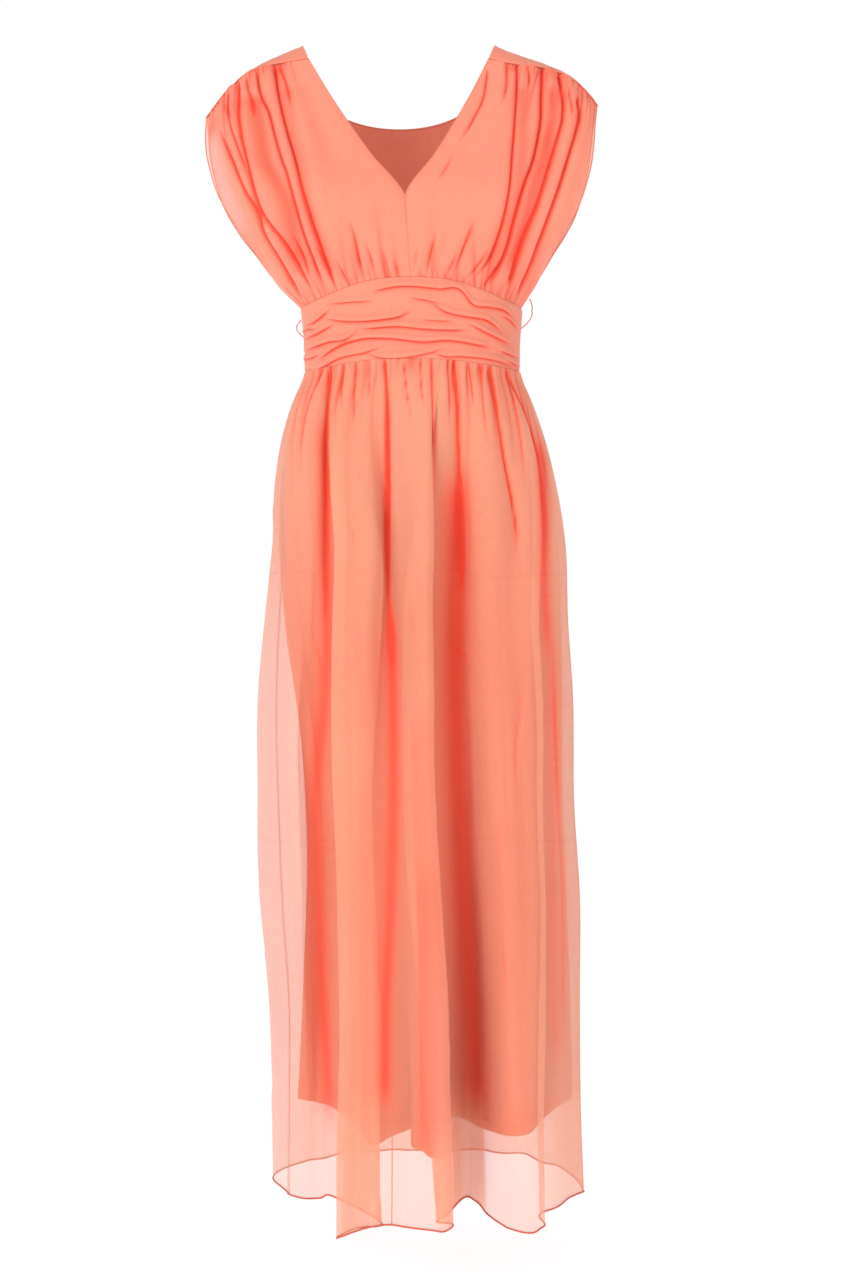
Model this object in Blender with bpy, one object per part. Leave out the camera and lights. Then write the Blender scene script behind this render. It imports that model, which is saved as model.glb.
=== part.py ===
"""Evening gown of gathered chiffon, in the hollow form it has when it is worn.

Metres, +Z up. The front faces -Y, and the wearer's left side is +X. The origin lies on the shoulder line,
midway between the shoulders, where the gown is carried. Every piece is a sheet of cloth worked out from
sections and folds and given its wall by a Solidify modifier. In the tables "drop" is a height measured
down from the shoulder line, "right" and "left" are the wearer's, and angles run across a front or a back
from -90 degrees at the right side seam to 90 at the left one.
"""

import math

import bmesh
import bpy
import numpy as np

# ---------------------------------------------------------------- driving sizes
CLOTH = 0.0015  # wall of one layer of cloth
BAND_WALL = 0.0022  # the waistband is several layers
SEAM = 0.0007  # between the middles of two walls that are sewn edge to edge
SIDE_SEAM = 0.0011  # the same at a side seam, where the two walls meet at an angle
ROUNDNESS = 2.4  # of the body's sections: 2 is an ellipse, more is squarer

SKIRT_GATHERS = 36  # across the front, and again across the back
SKIRT_GATHER_DEPTH = 0.0021
SKIRT_GATHER_FADE = 0.045  # how far below the seam a gather has mostly gone
BODICE_GATHERS = 16  # along one shoulder, and again along half the band
BODICE_GATHER_DEPTH = 0.0014
BODICE_GATHER_FADE = 0.16  # as a share of the panel's height
BACK_SHOULDER_GATHERS = 10
BACK_NECK_COLUMNS = 16

WAIST_FRONT_DROP, WAIST_SIDE_DROP, WAIST_BACK_DROP = 0.3835, 0.3943, 0.3925
UNDERBUST_FRONT_DROP, UNDERBUST_SIDE_DROP, UNDERBUST_BACK_DROP = 0.2885, 0.3174, 0.3120
ARCH_SHARPNESS = 3.2  # how fast the band's arch falls away from the centre

HEM_DROP = 1.395  # outer skirt
KNEE_DROP = 0.915
HIP_DROP = 0.52
HIP_SHARE = 0.45  # how much of the knee's folds the hip has
LINING_HEM_DROP = 1.285

V_SHARE = 0.70  # of a front's inner edge is neckline, and the rest is centre seam
V_POINT = (0.0075, -0.108, -0.194)

COLOURS = {
    "chiffon_bodice": (0.93, 0.33, 0.20),
    "chiffon_band": (0.95, 0.36, 0.23),
    "chiffon_overlay": (0.95, 0.38, 0.25),
    "lining_cloth": (0.86, 0.20, 0.12),
    "thread_loop": (0.80, 0.22, 0.13),
}


def table(columns, *rows):
    """A small table with named columns."""
    return {name: np.array(values) for name, values in zip(columns.split(), zip(*rows))}


# How far the outer skirt reaches to each side, forward and back.
SKIRT = table(
    "drop  right   left   front   back",
    (0.380, -0.1128, 0.1446, 0.0940, 0.0930),
    (0.400, -0.1180, 0.1490, 0.0970, 0.0960),
    (0.427, -0.1312, 0.1604, 0.1040, 0.1050),
    (0.476, -0.1470, 0.1775, 0.1150, 0.1190),
    (0.525, -0.1543, 0.1897, 0.1250, 0.1330),
    (0.598, -0.1580, 0.2019, 0.1370, 0.1500),
    (0.696, -0.1678, 0.2056, 0.1510, 0.1720),
    (0.793, -0.1750, 0.2117, 0.1650, 0.1920),
    (0.915, -0.1750, 0.2129, 0.1800, 0.2150),
    (1.037, -0.1714, 0.2202, 0.1910, 0.2300),
    (1.159, -0.1620, 0.2202, 0.2010, 0.2430),
    (1.281, -0.1604, 0.2214, 0.2090, 0.2540),
    (1.410, -0.1600, 0.2260, 0.2150, 0.2620),
)
LINING = table(
    "drop  right   left   front   back",
    (0.380, -0.1068, 0.1386, 0.0884, 0.0872),
    (0.427, -0.1225, 0.1515, 0.0945, 0.0955),
    (0.476, -0.1370, 0.1685, 0.1025, 0.1055),
    (0.525, -0.1445, 0.1815, 0.1095, 0.1155),
    (0.598, -0.1475, 0.1925, 0.1185, 0.1285),
    (0.696, -0.1409, 0.1970, 0.1290, 0.1440),
    (0.843, -0.1213, 0.1980, 0.1430, 0.1630),
    (0.941, -0.1150, 0.2000, 0.1520, 0.1740),
    (1.149, -0.1190, 0.2090, 0.1740, 0.1910),
    (1.320, -0.1270, 0.2140, 0.1870, 0.2020),
)

# The folds of each skirt panel, a row for each ridge or valley: its angle at the waist, and its place at
# the knee and at the hem as a share of the section's reach (across, and forward or back as -1 or 1).
FOLD_COLUMNS = "waist  knee_x  knee_y   hem_x  hem_y  hem_dip"
OVERLAY_FRONT = table(
    FOLD_COLUMNS,
    (-90, -0.907, -0.30, -0.875, 0.02, 0.000),
    (-62, -0.710, -0.72, -0.760, -0.10, 0.002),
    (-43, -0.545, -0.62, -0.585, -0.24, -0.009),
    (-36, -0.485, -0.98, -0.520, -1.09, 0.012),
    (-24, -0.360, -1.00, -0.380, -0.98, 0.005),
    (-10, -0.183, -0.90, -0.243, -0.93, 0.002),
    (0, -0.026, -1.03, -0.117, -1.00, 0.005),
    (7, 0.060, -1.04, -0.033, -1.02, 0.006),
    (13, 0.130, -0.98, 0.125, -0.95, 0.000),
    (22, 0.250, -0.74, 0.205, -0.56, -0.016),
    (28, 0.335, -0.76, 0.335, -0.54, -0.008),
    (34, 0.407, -0.88, 0.395, -0.76, 0.000),
    (43, 0.514, -0.99, 0.480, -0.99, 0.005),
    (52, 0.621, -0.95, 0.581, -1.06, 0.008),
    (62, 0.750, -0.82, 0.660, -1.00, 0.005),
    (70, 0.825, -0.57, 0.735, -0.76, 0.002),
    (76, 0.885, -0.52, 0.810, -0.42, 0.002),
    (83, 0.940, -0.30, 0.900, -0.12, 0.001),
    (90, 1.000, 0.00, 1.000, 0.05, 0.000),
)
OVERLAY_BACK = table(
    FOLD_COLUMNS,
    (-90, -0.907, -0.30, -0.875, 0.02, 0.000),
    (-82, -1.000, 0.12, -0.990, 0.42, 0.000),
    (-66, -0.830, 0.70, -0.790, 0.82, -0.006),
    (-54, -0.690, 0.67, -0.670, 0.75, -0.012),
    (-40, -0.500, 0.93, -0.520, 0.98, -0.012),
    (-29, -0.370, 0.88, -0.380, 0.89, -0.015),
    (-17, -0.210, 1.00, -0.220, 1.02, -0.012),
    (-6, -0.075, 0.94, -0.080, 0.93, -0.015),
    (7, 0.080, 1.01, 0.090, 1.03, -0.012),
    (17, 0.200, 0.92, 0.205, 0.91, -0.016),
    (30, 0.350, 0.96, 0.360, 0.99, -0.014),
    (43, 0.510, 0.82, 0.510, 0.81, -0.016),
    (55, 0.650, 0.83, 0.660, 0.87, -0.013),
    (66, 0.780, 0.64, 0.780, 0.66, -0.010),
    (76, 0.880, 0.55, 0.900, 0.60, -0.006),
    (84, 0.970, 0.28, 0.985, 0.34, 0.000),
    (90, 1.000, 0.00, 1.000, 0.05, 0.000),
)
LINING_FRONT = table(
    FOLD_COLUMNS,
    (-90, -0.990, 0.00, -1.000, 0.20, 0.000),
    (-68, -0.893, -0.40, -0.846, 0.00, 0.000),
    (-54, -0.790, -0.40, -0.716, -0.18, 0.002),
    (-44, -0.690, -0.58, -0.556, -0.62, 0.010),
    (-30, -0.514, -0.92, -0.420, -0.98, 0.023),
    (-17, -0.356, -0.93, -0.172, -0.88, 0.010),
    (-6, -0.167, -1.03, -0.110, -0.97, 0.026),
    (3, -0.022, -1.00, -0.040, -1.01, 0.036),
    (10, 0.080, -0.86, 0.050, -0.93, 0.032),
    (17, 0.192, -0.76, 0.100, -0.62, 0.004),
    (24, 0.293, -0.77, 0.200, -0.56, 0.005),
    (32, 0.400, -0.88, 0.300, -0.62, 0.012),
    (42, 0.527, -0.96, 0.470, -0.86, 0.015),
    (52, 0.653, -0.90, 0.595, -0.84, 0.016),
    (62, 0.767, -0.74, 0.690, -0.68, 0.014),
    (70, 0.861, -0.50, 0.760, -0.40, 0.008),
    (80, 0.950, -0.26, 0.880, -0.08, 0.002),
    (90, 1.000, 0.00, 1.000, 0.25, 0.000),
)
LINING_BACK = table(
    FOLD_COLUMNS,
    (-90, -0.990, 0.00, -1.000, 0.20, 0.000),
    (-70, -0.860, 0.54, -0.900, 0.60, 0.000),
    (-50, -0.660, 0.78, -0.680, 0.84, 0.000),
    (-30, -0.420, 0.94, -0.420, 0.91, 0.000),
    (-10, -0.140, 0.99, -0.140, 1.01, 0.000),
    (10, 0.140, 0.96, 0.140, 0.93, 0.000),
    (30, 0.420, 0.93, 0.420, 0.97, 0.000),
    (50, 0.660, 0.76, 0.680, 0.76, 0.000),
    (70, 0.870, 0.50, 0.900, 0.58, 0.000),
    (90, 1.000, 0.00, 1.000, 0.25, 0.000),
)

# The shoulder, from the neck (share 0) to the tip of the cap (share 1): where the front yoke seam runs to
# each side, how low it lies, how far forward, and how low the crest of the shoulder is.
SHOULDER = table(
    "share  right    left   forward  right_seam  left_seam  right_crest  left_crest",
    (0.00, -0.1105, 0.1087, 0.030, 0.0154, 0.0154, -0.0040, -0.0040),
    (0.20, -0.1360, 0.1380, 0.030, 0.0195, 0.0215, 0.0060, 0.0070),
    (0.42, -0.1650, 0.1720, 0.029, 0.0255, 0.0262, 0.0185, 0.0175),
    (0.55, -0.1810, 0.1930, 0.026, 0.0310, 0.0310, 0.0275, 0.0265),
    (0.70, -0.2005, 0.2145, 0.021, 0.0455, 0.0425, 0.0440, 0.0400),
    (0.85, -0.2180, 0.2310, 0.017, 0.0630, 0.0580, 0.0610, 0.0560),
    (1.00, -0.2340, 0.2404, 0.012, 0.0850, 0.0700, 0.0830, 0.0680),
)
# The free edge of the cap and the side seam under it, from the tip down to the band.
ARMHOLE = table(
    "share   right_x  right_drop  left_x  left_drop  apart",
    (0.00, -0.2340, 0.0850, 0.2404, 0.0700, 0.012),
    (0.08, -0.2345, 0.1030, 0.2375, 0.0930, 0.030),
    (0.18, -0.2330, 0.1290, 0.2350, 0.1210, 0.045),
    (0.28, -0.2275, 0.1546, 0.2310, 0.1500, 0.055),
    (0.38, -0.2200, 0.1790, 0.2235, 0.1780, 0.058),
    (0.50, -0.2080, 0.2030, 0.2139, 0.2030, 0.056),
    (0.62, -0.1926, 0.2266, 0.2009, 0.2266, 0.048),
    (0.74, -0.1750, 0.2496, 0.1868, 0.2496, 0.031),
    (0.80, -0.1668, 0.2616, 0.1804, 0.2616, 0.019),
    (0.86, -0.1580, 0.2740, 0.1735, 0.2740, 0.006),
    (0.92, -0.1465, 0.2905, 0.1648, 0.2905, 0.000),
    (1.00, -0.1190, 0.3174, 0.1480, 0.3174, 0.000),
)
# The neckline from the yoke down to the point of the V, then the centre seam down to the band.
NECKLINE = table(
    "share   right_x   left_x   forward   drop",
    (0.00, -0.1105, 0.1087, 0.030, 0.0154),
    (0.26, -0.0780, 0.0815, 0.062, 0.0725),
    (0.50, -0.0345, 0.0440, 0.092, 0.1390),
    (0.70, 0.0075, 0.0075, 0.108, 0.1940),
    (0.86, 0.0130, 0.0130, 0.110, 0.2450),
    (1.00, 0.0180, 0.0180, 0.098, 0.2885),
)
BACK_NECK = {"x": 0.005, "back": 0.082, "drop": 0.085}

# The folds of a bodice front: place at the yoke, half way down and at the band, as a share of the way
# from the inner edge to the armhole, and how far each stands out (ridge) or in (valley) at those heights.
BODICE_COLUMNS = "top  middle  bottom  out_top  out_middle  out_bottom"
BODICE_RIGHT = table(
    BODICE_COLUMNS,
    (0.00, 0.00, 0.00, 0.000, 0.000, 0.000),
    (0.12, 0.30, 0.34, 0.001, 0.003, 0.002),
    (0.21, 0.43, 0.58, -0.002, -0.003, -0.001),
    (0.25, 0.48, 0.64, 0.003, 0.004, 0.002),
    (0.30, 0.53, 0.69, -0.004, -0.007, -0.003),
    (0.36, 0.57, 0.73, 0.003, 0.004, 0.002),
    (0.43, 0.61, 0.77, -0.004, -0.008, -0.003),
    (0.53, 0.69, 0.81, 0.003, 0.005, 0.002),
    (0.62, 0.77, 0.85, -0.003, -0.005, -0.003),
    (0.72, 0.81, 0.89, 0.002, 0.005, 0.002),
    (0.83, 0.85, 0.93, -0.003, -0.006, -0.002),
    (0.92, 0.92, 0.97, 0.002, 0.003, 0.001),
    (1.00, 1.00, 1.00, 0.000, 0.000, 0.000),
)
BODICE_LEFT = table(
    BODICE_COLUMNS,
    (0.00, 0.00, 0.00, 0.000, 0.000, 0.000),
    (0.08, 0.22, 0.26, 0.001, 0.003, 0.002),
    (0.15, 0.38, 0.50, -0.002, -0.004, -0.001),
    (0.20, 0.46, 0.57, 0.003, 0.004, 0.002),
    (0.25, 0.52, 0.63, -0.003, -0.006, -0.003),
    (0.34, 0.58, 0.68, 0.003, 0.005, 0.002),
    (0.45, 0.65, 0.74, -0.004, -0.007, -0.003),
    (0.52, 0.70, 0.79, 0.003, 0.005, 0.002),
    (0.61, 0.76, 0.84, -0.003, -0.006, -0.003),
    (0.72, 0.81, 0.88, 0.003, 0.004, 0.002),
    (0.84, 0.86, 0.93, -0.003, -0.005, -0.002),
    (0.93, 0.93, 0.97, 0.002, 0.003, 0.001),
    (1.00, 1.00, 1.00, 0.000, 0.000, 0.000),
)
BODICE_BACK = table(
    BODICE_COLUMNS,
    (0.00, 0.00, 0.00, 0.000, 0.000, 0.000),
    (0.06, 0.09, 0.07, 0.002, 0.003, 0.001),
    (0.12, 0.17, 0.13, -0.003, -0.005, -0.002),
    (0.18, 0.23, 0.19, 0.003, 0.004, 0.002),
    (0.24, 0.29, 0.26, -0.003, -0.006, -0.003),
    (0.31, 0.36, 0.34, 0.002, 0.004, 0.002),
    (0.42, 0.43, 0.42, 0.000, -0.002, -0.002),
    (0.50, 0.50, 0.50, 0.000, 0.002, 0.002),
    (0.58, 0.57, 0.58, 0.000, -0.002, -0.002),
    (0.69, 0.64, 0.66, 0.002, 0.004, 0.002),
    (0.76, 0.71, 0.74, -0.003, -0.006, -0.003),
    (0.82, 0.77, 0.81, 0.003, 0.004, 0.002),
    (0.88, 0.83, 0.87, -0.003, -0.005, -0.002),
    (0.94, 0.91, 0.93, 0.002, 0.003, 0.001),
    (1.00, 1.00, 1.00, 0.000, 0.000, 0.000),
)
BUST = {"share": 0.42, "height": 0.62, "out": 0.024, "width": 0.30, "tall": 0.26}
BLADES = {"share": 0.50, "height": 0.30, "out": 0.004, "width": 0.36, "tall": 0.30}

# The creases ruched across the band, as a share of its height, from the right side seam to the left one.
# The cloth laps over each crease from above.
CREASE_STATIONS = (-90, -45, 0, 45, 90)
CREASES_FRONT = (
    (0.23, 0.16, 0.14, 0.19, 0.19),
    (0.41, 0.43, 0.45, 0.41, 0.42),
    (0.58, 0.64, 0.62, 0.59, 0.60),
    (0.76, 0.77, 0.78, 0.78, 0.76),
    (0.93, 0.90, 0.95, 0.95, 0.92),
)
CREASES_BACK = (
    (0.19, 0.17, 0.20, 0.16, 0.23),
    (0.42, 0.38, 0.41, 0.39, 0.41),
    (0.60, 0.58, 0.62, 0.60, 0.58),
    (0.76, 0.79, 0.77, 0.80, 0.76),
    (0.92, 0.93, 0.94, 0.92, 0.93),
)
LAP_PLACE = 0.72  # the proud edge above a crease, as a share of the way down to it
LAP_OUT = 0.0040
CREASE_OUT = 0.0006


# ---------------------------------------------------------------- curves
def smooth_between(place, knots, values):
    """A smooth curve through the values at the knots, read at each place. The values may have many columns."""
    place = np.clip(np.asarray(place, float), knots[0], knots[-1])
    values = np.asarray(values, float)
    slope = np.gradient(values, knots, axis=0)
    low = np.clip(np.searchsorted(knots, place, side="right") - 1, 0, len(knots) - 2)
    span = knots[low + 1] - knots[low]
    part = (place - knots[low]) / span
    if values.ndim > 1:
        part, span = part[..., None], span[..., None]
    start = (1 + 2 * part) * (1 - part) ** 2 * values[low] + part * (1 - part) ** 2 * span * slope[low]
    end = part**2 * (3 - 2 * part) * values[low + 1] - part**2 * (1 - part) * span * slope[low + 1]
    return start + end


def eased_between(place, knots, values):
    """As smooth_between, but level at every knot, so that each row of a fold table is a ridge or a valley."""
    low = np.clip(np.searchsorted(knots, place, side="right") - 1, 0, len(knots) - 2)
    part = (place - knots[low]) / (knots[low + 1] - knots[low])
    part = part * part * (3 - 2 * part)
    return values[low] * (1 - part) + values[low + 1] * part


def round_section(degrees, side=-1):
    """Points of the body's squared ellipse, 1 across each way; side is -1 for the front and 1 for the back."""
    turn = np.radians(degrees)
    power = 2 / ROUNDNESS
    across = np.sign(np.sin(turn)) * np.abs(np.sin(turn)) ** power
    along = side * np.abs(np.cos(turn)) ** power
    return across, along


def placed(sections, drop, across, along):
    """World points for shares of a section's reach at a drop below the shoulder line."""
    reach = [smooth_between(drop, sections["drop"], sections[name]) for name in ("right", "left", "front", "back")]
    right, left, front, back = reach
    x = (left + right) / 2 + across * (left - right) / 2
    y = along * np.where(along < 0, front, back)
    return np.stack([x, y, -drop], axis=-1)


def arch(degrees, centre_drop, side_drop):
    """The drop of a band's edge, which arches up to its centre."""
    return side_drop + (centre_drop - side_drop) * np.cos(np.radians(degrees)) ** ARCH_SHARPNESS


def zigzag(columns):
    """1 and -1 by turns, and 0 at both ends: one gather for every two columns."""
    waves = np.where(np.arange(columns + 1) % 2 == 0, 1.0, -1.0)
    waves[0] = waves[-1] = 0.0
    return waves


# ---------------------------------------------------------------- making solids
def finish(name):
    """The piece's own material, by the name of its finish."""
    if name in bpy.data.materials:
        return bpy.data.materials[name]
    material = bpy.data.materials.new(name)
    material.use_nodes = True
    shader = material.node_tree.nodes["Principled BSDF"]
    shader.inputs["Base Color"].default_value = (*COLOURS[name], 1.0)
    shader.inputs["Roughness"].default_value = 0.75
    shader.inputs["Metallic"].default_value = 0.0
    return material


def cloth_wall(name, points, material, wall=CLOTH):
    """A closed wall of cloth, its middle on a grid of points [row, column, xyz] whose normals face out."""
    mesh = bmesh.new()
    grid = [[mesh.verts.new(point) for point in row] for row in points]
    for upper, lower in zip(grid, grid[1:]):
        for column in range(len(upper) - 1):
            mesh.faces.new((upper[column], lower[column], lower[column + 1], upper[column + 1]))
    data = bpy.data.meshes.new(name)
    mesh.to_mesh(data)
    mesh.free()
    data.materials.append(finish(material))
    data.shade_smooth()
    piece = bpy.data.objects.new(name, data)
    bpy.context.scene.collection.objects.link(piece)
    solid = piece.modifiers.new("Wall", "SOLIDIFY")
    solid.thickness = wall
    solid.offset = 0.0
    return piece


def normals_of(points):
    """Unit normals of a grid of points, on the side that faces out when columns run from right to left."""
    across = np.gradient(points, axis=1)
    down = np.gradient(points, axis=0)
    normal = np.cross(down, across)
    return normal / np.linalg.norm(normal, axis=-1, keepdims=True)


def trimmed(points, gap):
    """Draws a panel's two side edges back by half a seam's gap, along the cloth."""
    for edge, inside in ((0, 1), (-1, -2)):
        step = points[:, inside] - points[:, edge]
        points[:, edge] += step / np.linalg.norm(step, axis=1, keepdims=True) * gap / 2
    return points


# ---------------------------------------------------------------- skirts
SKIRT_ROWS = (0.0, 0.014, 0.036, 0.075, 0.13, 0.22, 0.34, 0.48, 0.63, 0.79, 1.0)  # shares of the length
LINING_ROWS = (0.0, 0.08, 0.22, 0.42, 0.64, 0.83, 1.0)


def skirt_points(sections, folds, columns, rows, hem_drop, side, gather_depth=0.0):
    """The middle of one skirt panel, from the waist seam to the hem."""
    angle = np.linspace(-90, 90, columns + 1)
    across, along = round_section(angle, side)
    centre_drop = WAIST_FRONT_DROP if side < 0 else WAIST_BACK_DROP
    top = arch(angle, centre_drop, WAIST_SIDE_DROP) + SEAM * 1.8
    knots = folds["waist"]
    hem = hem_drop + eased_between(angle, knots, folds["hem_dip"])
    at_knee = smooth_between(angle, knots, folds["knee_x"]), eased_between(angle, knots, folds["knee_y"])
    at_hem = smooth_between(angle, knots, folds["hem_x"]), eased_between(angle, knots, folds["hem_y"])
    levels = np.array([WAIST_FRONT_DROP, HIP_DROP, KNEE_DROP, hem_drop])
    places = []
    for at_waist, knee, low in zip((across, along), at_knee, at_hem):
        hip = at_waist + (knee - at_waist) * HIP_SHARE
        places.append(np.stack([at_waist, hip, knee, low]))
    gathers = zigzag(columns)
    points = []
    for share in rows:
        drop = top + (hem - top) * share
        place_x, place_y = (
            np.array([smooth_between(d, levels, place[:, i]) for i, d in enumerate(drop)]) for place in places
        )
        row = placed(sections, drop, place_x, place_y)
        centre = row.mean(axis=0) * (1, 0, 0)
        outward = (row - centre) * (1, 1, 0)
        outward /= np.linalg.norm(outward, axis=1, keepdims=True)
        fade = np.exp(-(drop - top) / SKIRT_GATHER_FADE)
        row += outward * (gathers * gather_depth * fade)[:, None]
        points.append(row)
    points = trimmed(np.array(points), SIDE_SEAM)
    return points if side < 0 else points[:, ::-1]


def make_skirts():
    columns = 2 * SKIRT_GATHERS
    front = skirt_points(SKIRT, OVERLAY_FRONT, columns, SKIRT_ROWS, HEM_DROP, -1, SKIRT_GATHER_DEPTH)
    cloth_wall("skirt_overlay_front", front, "chiffon_overlay")
    back = skirt_points(SKIRT, OVERLAY_BACK, columns, SKIRT_ROWS, HEM_DROP, 1, SKIRT_GATHER_DEPTH)
    cloth_wall("skirt_overlay_back", back, "chiffon_overlay")
    front = skirt_points(LINING, LINING_FRONT, 34, LINING_ROWS, LINING_HEM_DROP, -1)
    cloth_wall("skirt_lining_front", front, "lining_cloth")
    back = skirt_points(LINING, LINING_BACK, 26, LINING_ROWS, LINING_HEM_DROP, 1)
    cloth_wall("skirt_lining_back", back, "lining_cloth")


# ---------------------------------------------------------------- waistband
BAND = table(
    "drop  right   left   front   back",
    (0.280, -0.1190, 0.1480, 0.0975, 0.0940),
    (0.318, -0.1185, 0.1475, 0.0970, 0.0940),
    (0.350, -0.1150, 0.1455, 0.0950, 0.0930),
    (0.396, -0.1128, 0.1440, 0.0935, 0.0925),
)


def band_points(creases, side, columns=20):
    """The ruched middle of half the band: rows run along its edges, its creases and the laps above them."""
    angle = np.linspace(-90, 90, columns + 1)
    across, along = round_section(angle, side)
    centre_top = UNDERBUST_FRONT_DROP if side < 0 else UNDERBUST_BACK_DROP
    centre_bottom = WAIST_FRONT_DROP if side < 0 else WAIST_BACK_DROP
    top = arch(angle, centre_top, UNDERBUST_SIDE_DROP)
    bottom = arch(angle, centre_bottom, WAIST_SIDE_DROP)
    creases = [smooth_between(angle, np.array(CREASE_STATIONS), np.array(row)) for row in creases]
    rows = [(np.zeros_like(angle), CREASE_OUT)]
    for above, crease in zip([rows[0][0], *creases], creases):
        rows.append((above + (crease - above) * LAP_PLACE, LAP_OUT))
        rows.append((crease, CREASE_OUT))
    rows.append(((creases[-1] + 1) / 2, LAP_OUT / 2))
    rows.append((np.ones_like(angle), CREASE_OUT))
    points = []
    for share, out in rows:
        row = placed(BAND, top + (bottom - top) * share, across, along)
        outward = np.stack([across, along, np.zeros_like(across)], axis=-1)
        outward /= np.linalg.norm(outward, axis=1, keepdims=True)
        calm = np.clip((90 - np.abs(angle)) / 6, 0, 1)  # the side seams press the ruching flat
        points.append(row + outward * (out * calm)[:, None])
    points = np.array(points)
    points = trimmed(points, SIDE_SEAM)
    return points if side < 0 else points[:, ::-1]


def make_band():
    cloth_wall("waistband_front", band_points(CREASES_FRONT, -1), "chiffon_band", BAND_WALL)
    cloth_wall("waistband_back", band_points(CREASES_BACK, 1), "chiffon_band", BAND_WALL)


# ---------------------------------------------------------------- bodice
BODICE_ROWS = (0.0, 0.06, 0.15, 0.28, 0.42, 0.56, V_SHARE, 0.77, 0.83, 0.88, 0.94, 1.0)  # shares of the height


def patch(top, bottom, inner, outer, columns, rows):
    """A sheet stretched between four edges, each a function of its share from 0 to 1."""
    u, v = np.meshgrid(columns, rows)
    u, v = u[..., None], v[..., None]
    flat = (1 - v) * top(columns)[None] + v * bottom(columns)[None]
    flat = flat + (1 - u) * inner(rows)[:, None] + u * outer(rows)[:, None]
    ends = top(np.array([0.0, 1.0])), bottom(np.array([0.0, 1.0]))
    corners = (1 - v) * ((1 - u) * ends[0][0] + u * ends[0][1]) + v * ((1 - u) * ends[1][0] + u * ends[1][1])
    return flat - corners


def swell(points, u, v, form, side):
    """Rounds a panel out over the bust or the shoulder blades, and leaves its edges where they are."""
    lump = np.exp(-(((u - form["share"]) / form["width"]) ** 2) - ((v - form["height"]) / form["tall"]) ** 2)
    lump = lump * np.clip(np.sin(np.pi * u), 0, 1) ** 0.5 * np.clip(np.sin(np.pi * v), 0, 1) ** 0.7
    points[..., 1] += side * form["out"] * lump
    return points


def folded(points, folds, columns, rows, gather_mask):
    """Adds a bodice panel's long folds, and the gathers at its two seams."""
    normal = normals_of(points)
    normal[-1, :, 2] = 0.0  # at the band the cloth moves level, so that it stays off the band's edge
    heights = np.array([0.0, 0.5, 1.0])
    places = np.stack([folds["top"], folds["middle"], folds["bottom"]])
    outs = np.stack([folds["out_top"], folds["out_middle"], folds["out_bottom"]])
    gathers = zigzag(len(columns) - 1)
    out = []
    for v in rows:
        place = smooth_between(v, heights, places)
        height = smooth_between(v, heights, outs)
        rise = eased_between(columns, place, height)
        fade_top = np.exp(-v / BODICE_GATHER_FADE) * gather_mask
        fade_bottom = np.exp(-(1 - v) / BODICE_GATHER_FADE)
        out.append(rise * min(1.0, 0.35 + 4 * v, 0.35 + 4 * (1 - v)) + gathers * BODICE_GATHER_DEPTH * (fade_top + fade_bottom))
    out = np.array(out)
    out[:, (0, -1)] = 0.0
    return points + normal * out[..., None]


def shoulder_seam(hand, side, share):
    """The seam between the yoke and a panel, from the neck to the cap's tip."""
    x, forward, drop = (smooth_between(share, SHOULDER["share"], SHOULDER[name]) for name in (hand, "forward", hand + "_seam"))
    return np.stack([x, side * (forward + SEAM * 1.7), -drop - SEAM * 1.7], axis=-1)


def armhole_edge(hand, side, share):
    x, drop, apart = (smooth_between(share, ARMHOLE["share"], ARMHOLE[name]) for name in (hand + "_x", hand + "_drop", "apart"))
    start = shoulder_seam(hand, side, np.array([1.0]))[0]
    points = np.stack([x, side * np.maximum(apart, SEAM / 2), -drop], axis=-1)
    points += (start - points[0]) * ((1 - share) ** 6)[:, None]
    end = band_top(hand, side, np.array([1.0]))[0]
    return points + (end - points[-1]) * (share**6)[:, None]


def band_top(hand, side, share):
    """The band's upper edge, from the centre to a side seam."""
    sign = -1 if hand == "right" else 1
    angle = sign * 90 * share
    centre = UNDERBUST_FRONT_DROP if side < 0 else UNDERBUST_BACK_DROP
    across, along = round_section(angle, side)
    drop = arch(angle, centre, UNDERBUST_SIDE_DROP)
    points = placed(BAND, drop, across, along)
    points[:, 2] += SEAM * 1.8
    points[:, 1] += side * SEAM / 2
    return points


def inner_edge(hand, share):
    x, forward, drop = (smooth_between(share, NECKLINE["share"], NECKLINE[name]) for name in (hand + "_x", "forward", "drop"))
    line = np.stack([x, -forward, -drop], axis=-1)
    point = np.array(V_POINT)
    ends = shoulder_seam(hand, -1, np.array([0.0]))[0], band_top(hand, -1, np.array([0.0]))[0]
    above = share <= V_SHARE
    part = np.where(above, share / V_SHARE, (share - V_SHARE) / (1 - V_SHARE))
    line[above] += (ends[0] - line[0]) * ((1 - part[above]) ** 2)[:, None]
    line[~above] = point + (ends[1] - point) * part[~above][:, None]
    line[~above, 1] -= 0.006 * np.sin(np.pi * part[~above])
    line[:, 0] += (-1 if hand == "right" else 1) * SEAM / 2
    return line


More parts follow.
